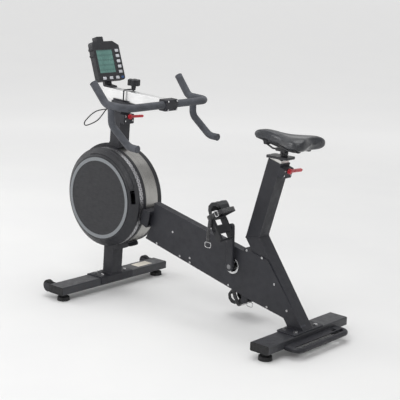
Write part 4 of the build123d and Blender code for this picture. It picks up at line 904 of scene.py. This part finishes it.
welds()
bolts()
plugs()
labels()

# ------------------------------------------------------------ floor, backdrop and light
PALE = 0.765
FAR_GLOW = 0.30
GLOW_FROM, GLOW_TO = 1.3, 5.0
# radius and height of the floor's rings, the last ones a low wall far away
FLOOR_ROWS = [(0.5, 0), (1.5, 0), (3, 0), (5, 0), (8, 0), (14, 0), (26, 0), (58, 0), (60, 0.6), (60.5, 2.5),
              (60.5, 14)]
FLOOR_SIDES = 72


def stage():
    """Wide flat floor that is brighter away from the bike, so it is the backdrop from every side."""
    turns = [2 * pi * k / FLOOR_SIDES for k in range(FLOOR_SIDES)]
    rings = []
    for radius, height in FLOOR_ROWS:
        rings.append([Vector((radius * cos(t), radius * sin(t), height)) for t in turns])
    mesh = rings_mesh("studio_floor", rings[::-1], capped=False)
    shape = bmesh.new()
    shape.from_mesh(mesh)
    inner_rim = [e for e in shape.edges if e.is_boundary and e.calc_length() < 0.1]
    bmesh.ops.holes_fill(shape, edges=inner_rim)
    bmesh.ops.recalc_face_normals(shape, faces=shape.faces)
    shape.to_mesh(mesh)
    shape.free()
    floor = bpy.data.objects.new("studio_floor", mesh)
    bpy.context.scene.collection.objects.link(floor)
    s = Shader("studio_paper")
    x, y, _ = s.parts()
    away = s.math("SQRT", s.math("ADD", s.math("MULTIPLY", x, x), s.math("MULTIPLY", y, y)))
    lighter = (PALE + 0.02, PALE + 0.02, PALE + 0.015)
    paper = s.mix(s.spread(s.noise(1.5, 3), 0, 1), (PALE, PALE, PALE), lighter)
    s.bumps((s.noise(300, 2), 0.03, 0.0005))
    material = s.finish(paper, 0.9, specular=0.1)
    s.skin.inputs["Emission Color"].default_value = (1, 1, 1, 1)
    glow = s.spread(away, 0, FAR_GLOW, GLOW_FROM, GLOW_TO)
    s.links.new(glow, s.skin.inputs["Emission Strength"])
    mesh.materials.append(material)


def softbox(name, place, aim, size, power):
    data = bpy.data.lights.new(name, "AREA")
    data.shape = "RECTANGLE"
    data.size, data.size_y = size
    data.energy = power
    light = bpy.data.objects.new(name, data)
    bpy.context.scene.collection.objects.link(light)
    light.location = place
    light.rotation_euler = (Vector(aim) - Vector(place)).to_track_quat("-Z", "Y").to_euler()


def light():
    world = bpy.data.worlds.new("studio")
    bpy.context.scene.world = world
    world.use_nodes = True
    back = world.node_tree.nodes["Background"]
    back.inputs["Color"].default_value = (1, 1, 1, 1)
    back.inputs["Strength"].default_value = 0.55
    softbox("key_light", (1.2, -3.2, 3.4), (0, 0, 0.5), (2.6, 2.0), 62)
    softbox("top_light", (-0.2, 0.3, 3.8), (0, 0, 0.4), (3.2, 3.2), 70)
    softbox("left_light", (-3.4, -1.4, 1.8), (-0.3, 0, 0.6), (1.6, 2.2), 34)
    bpy.context.scene.view_settings.view_transform = "Standard"


stage()
light()
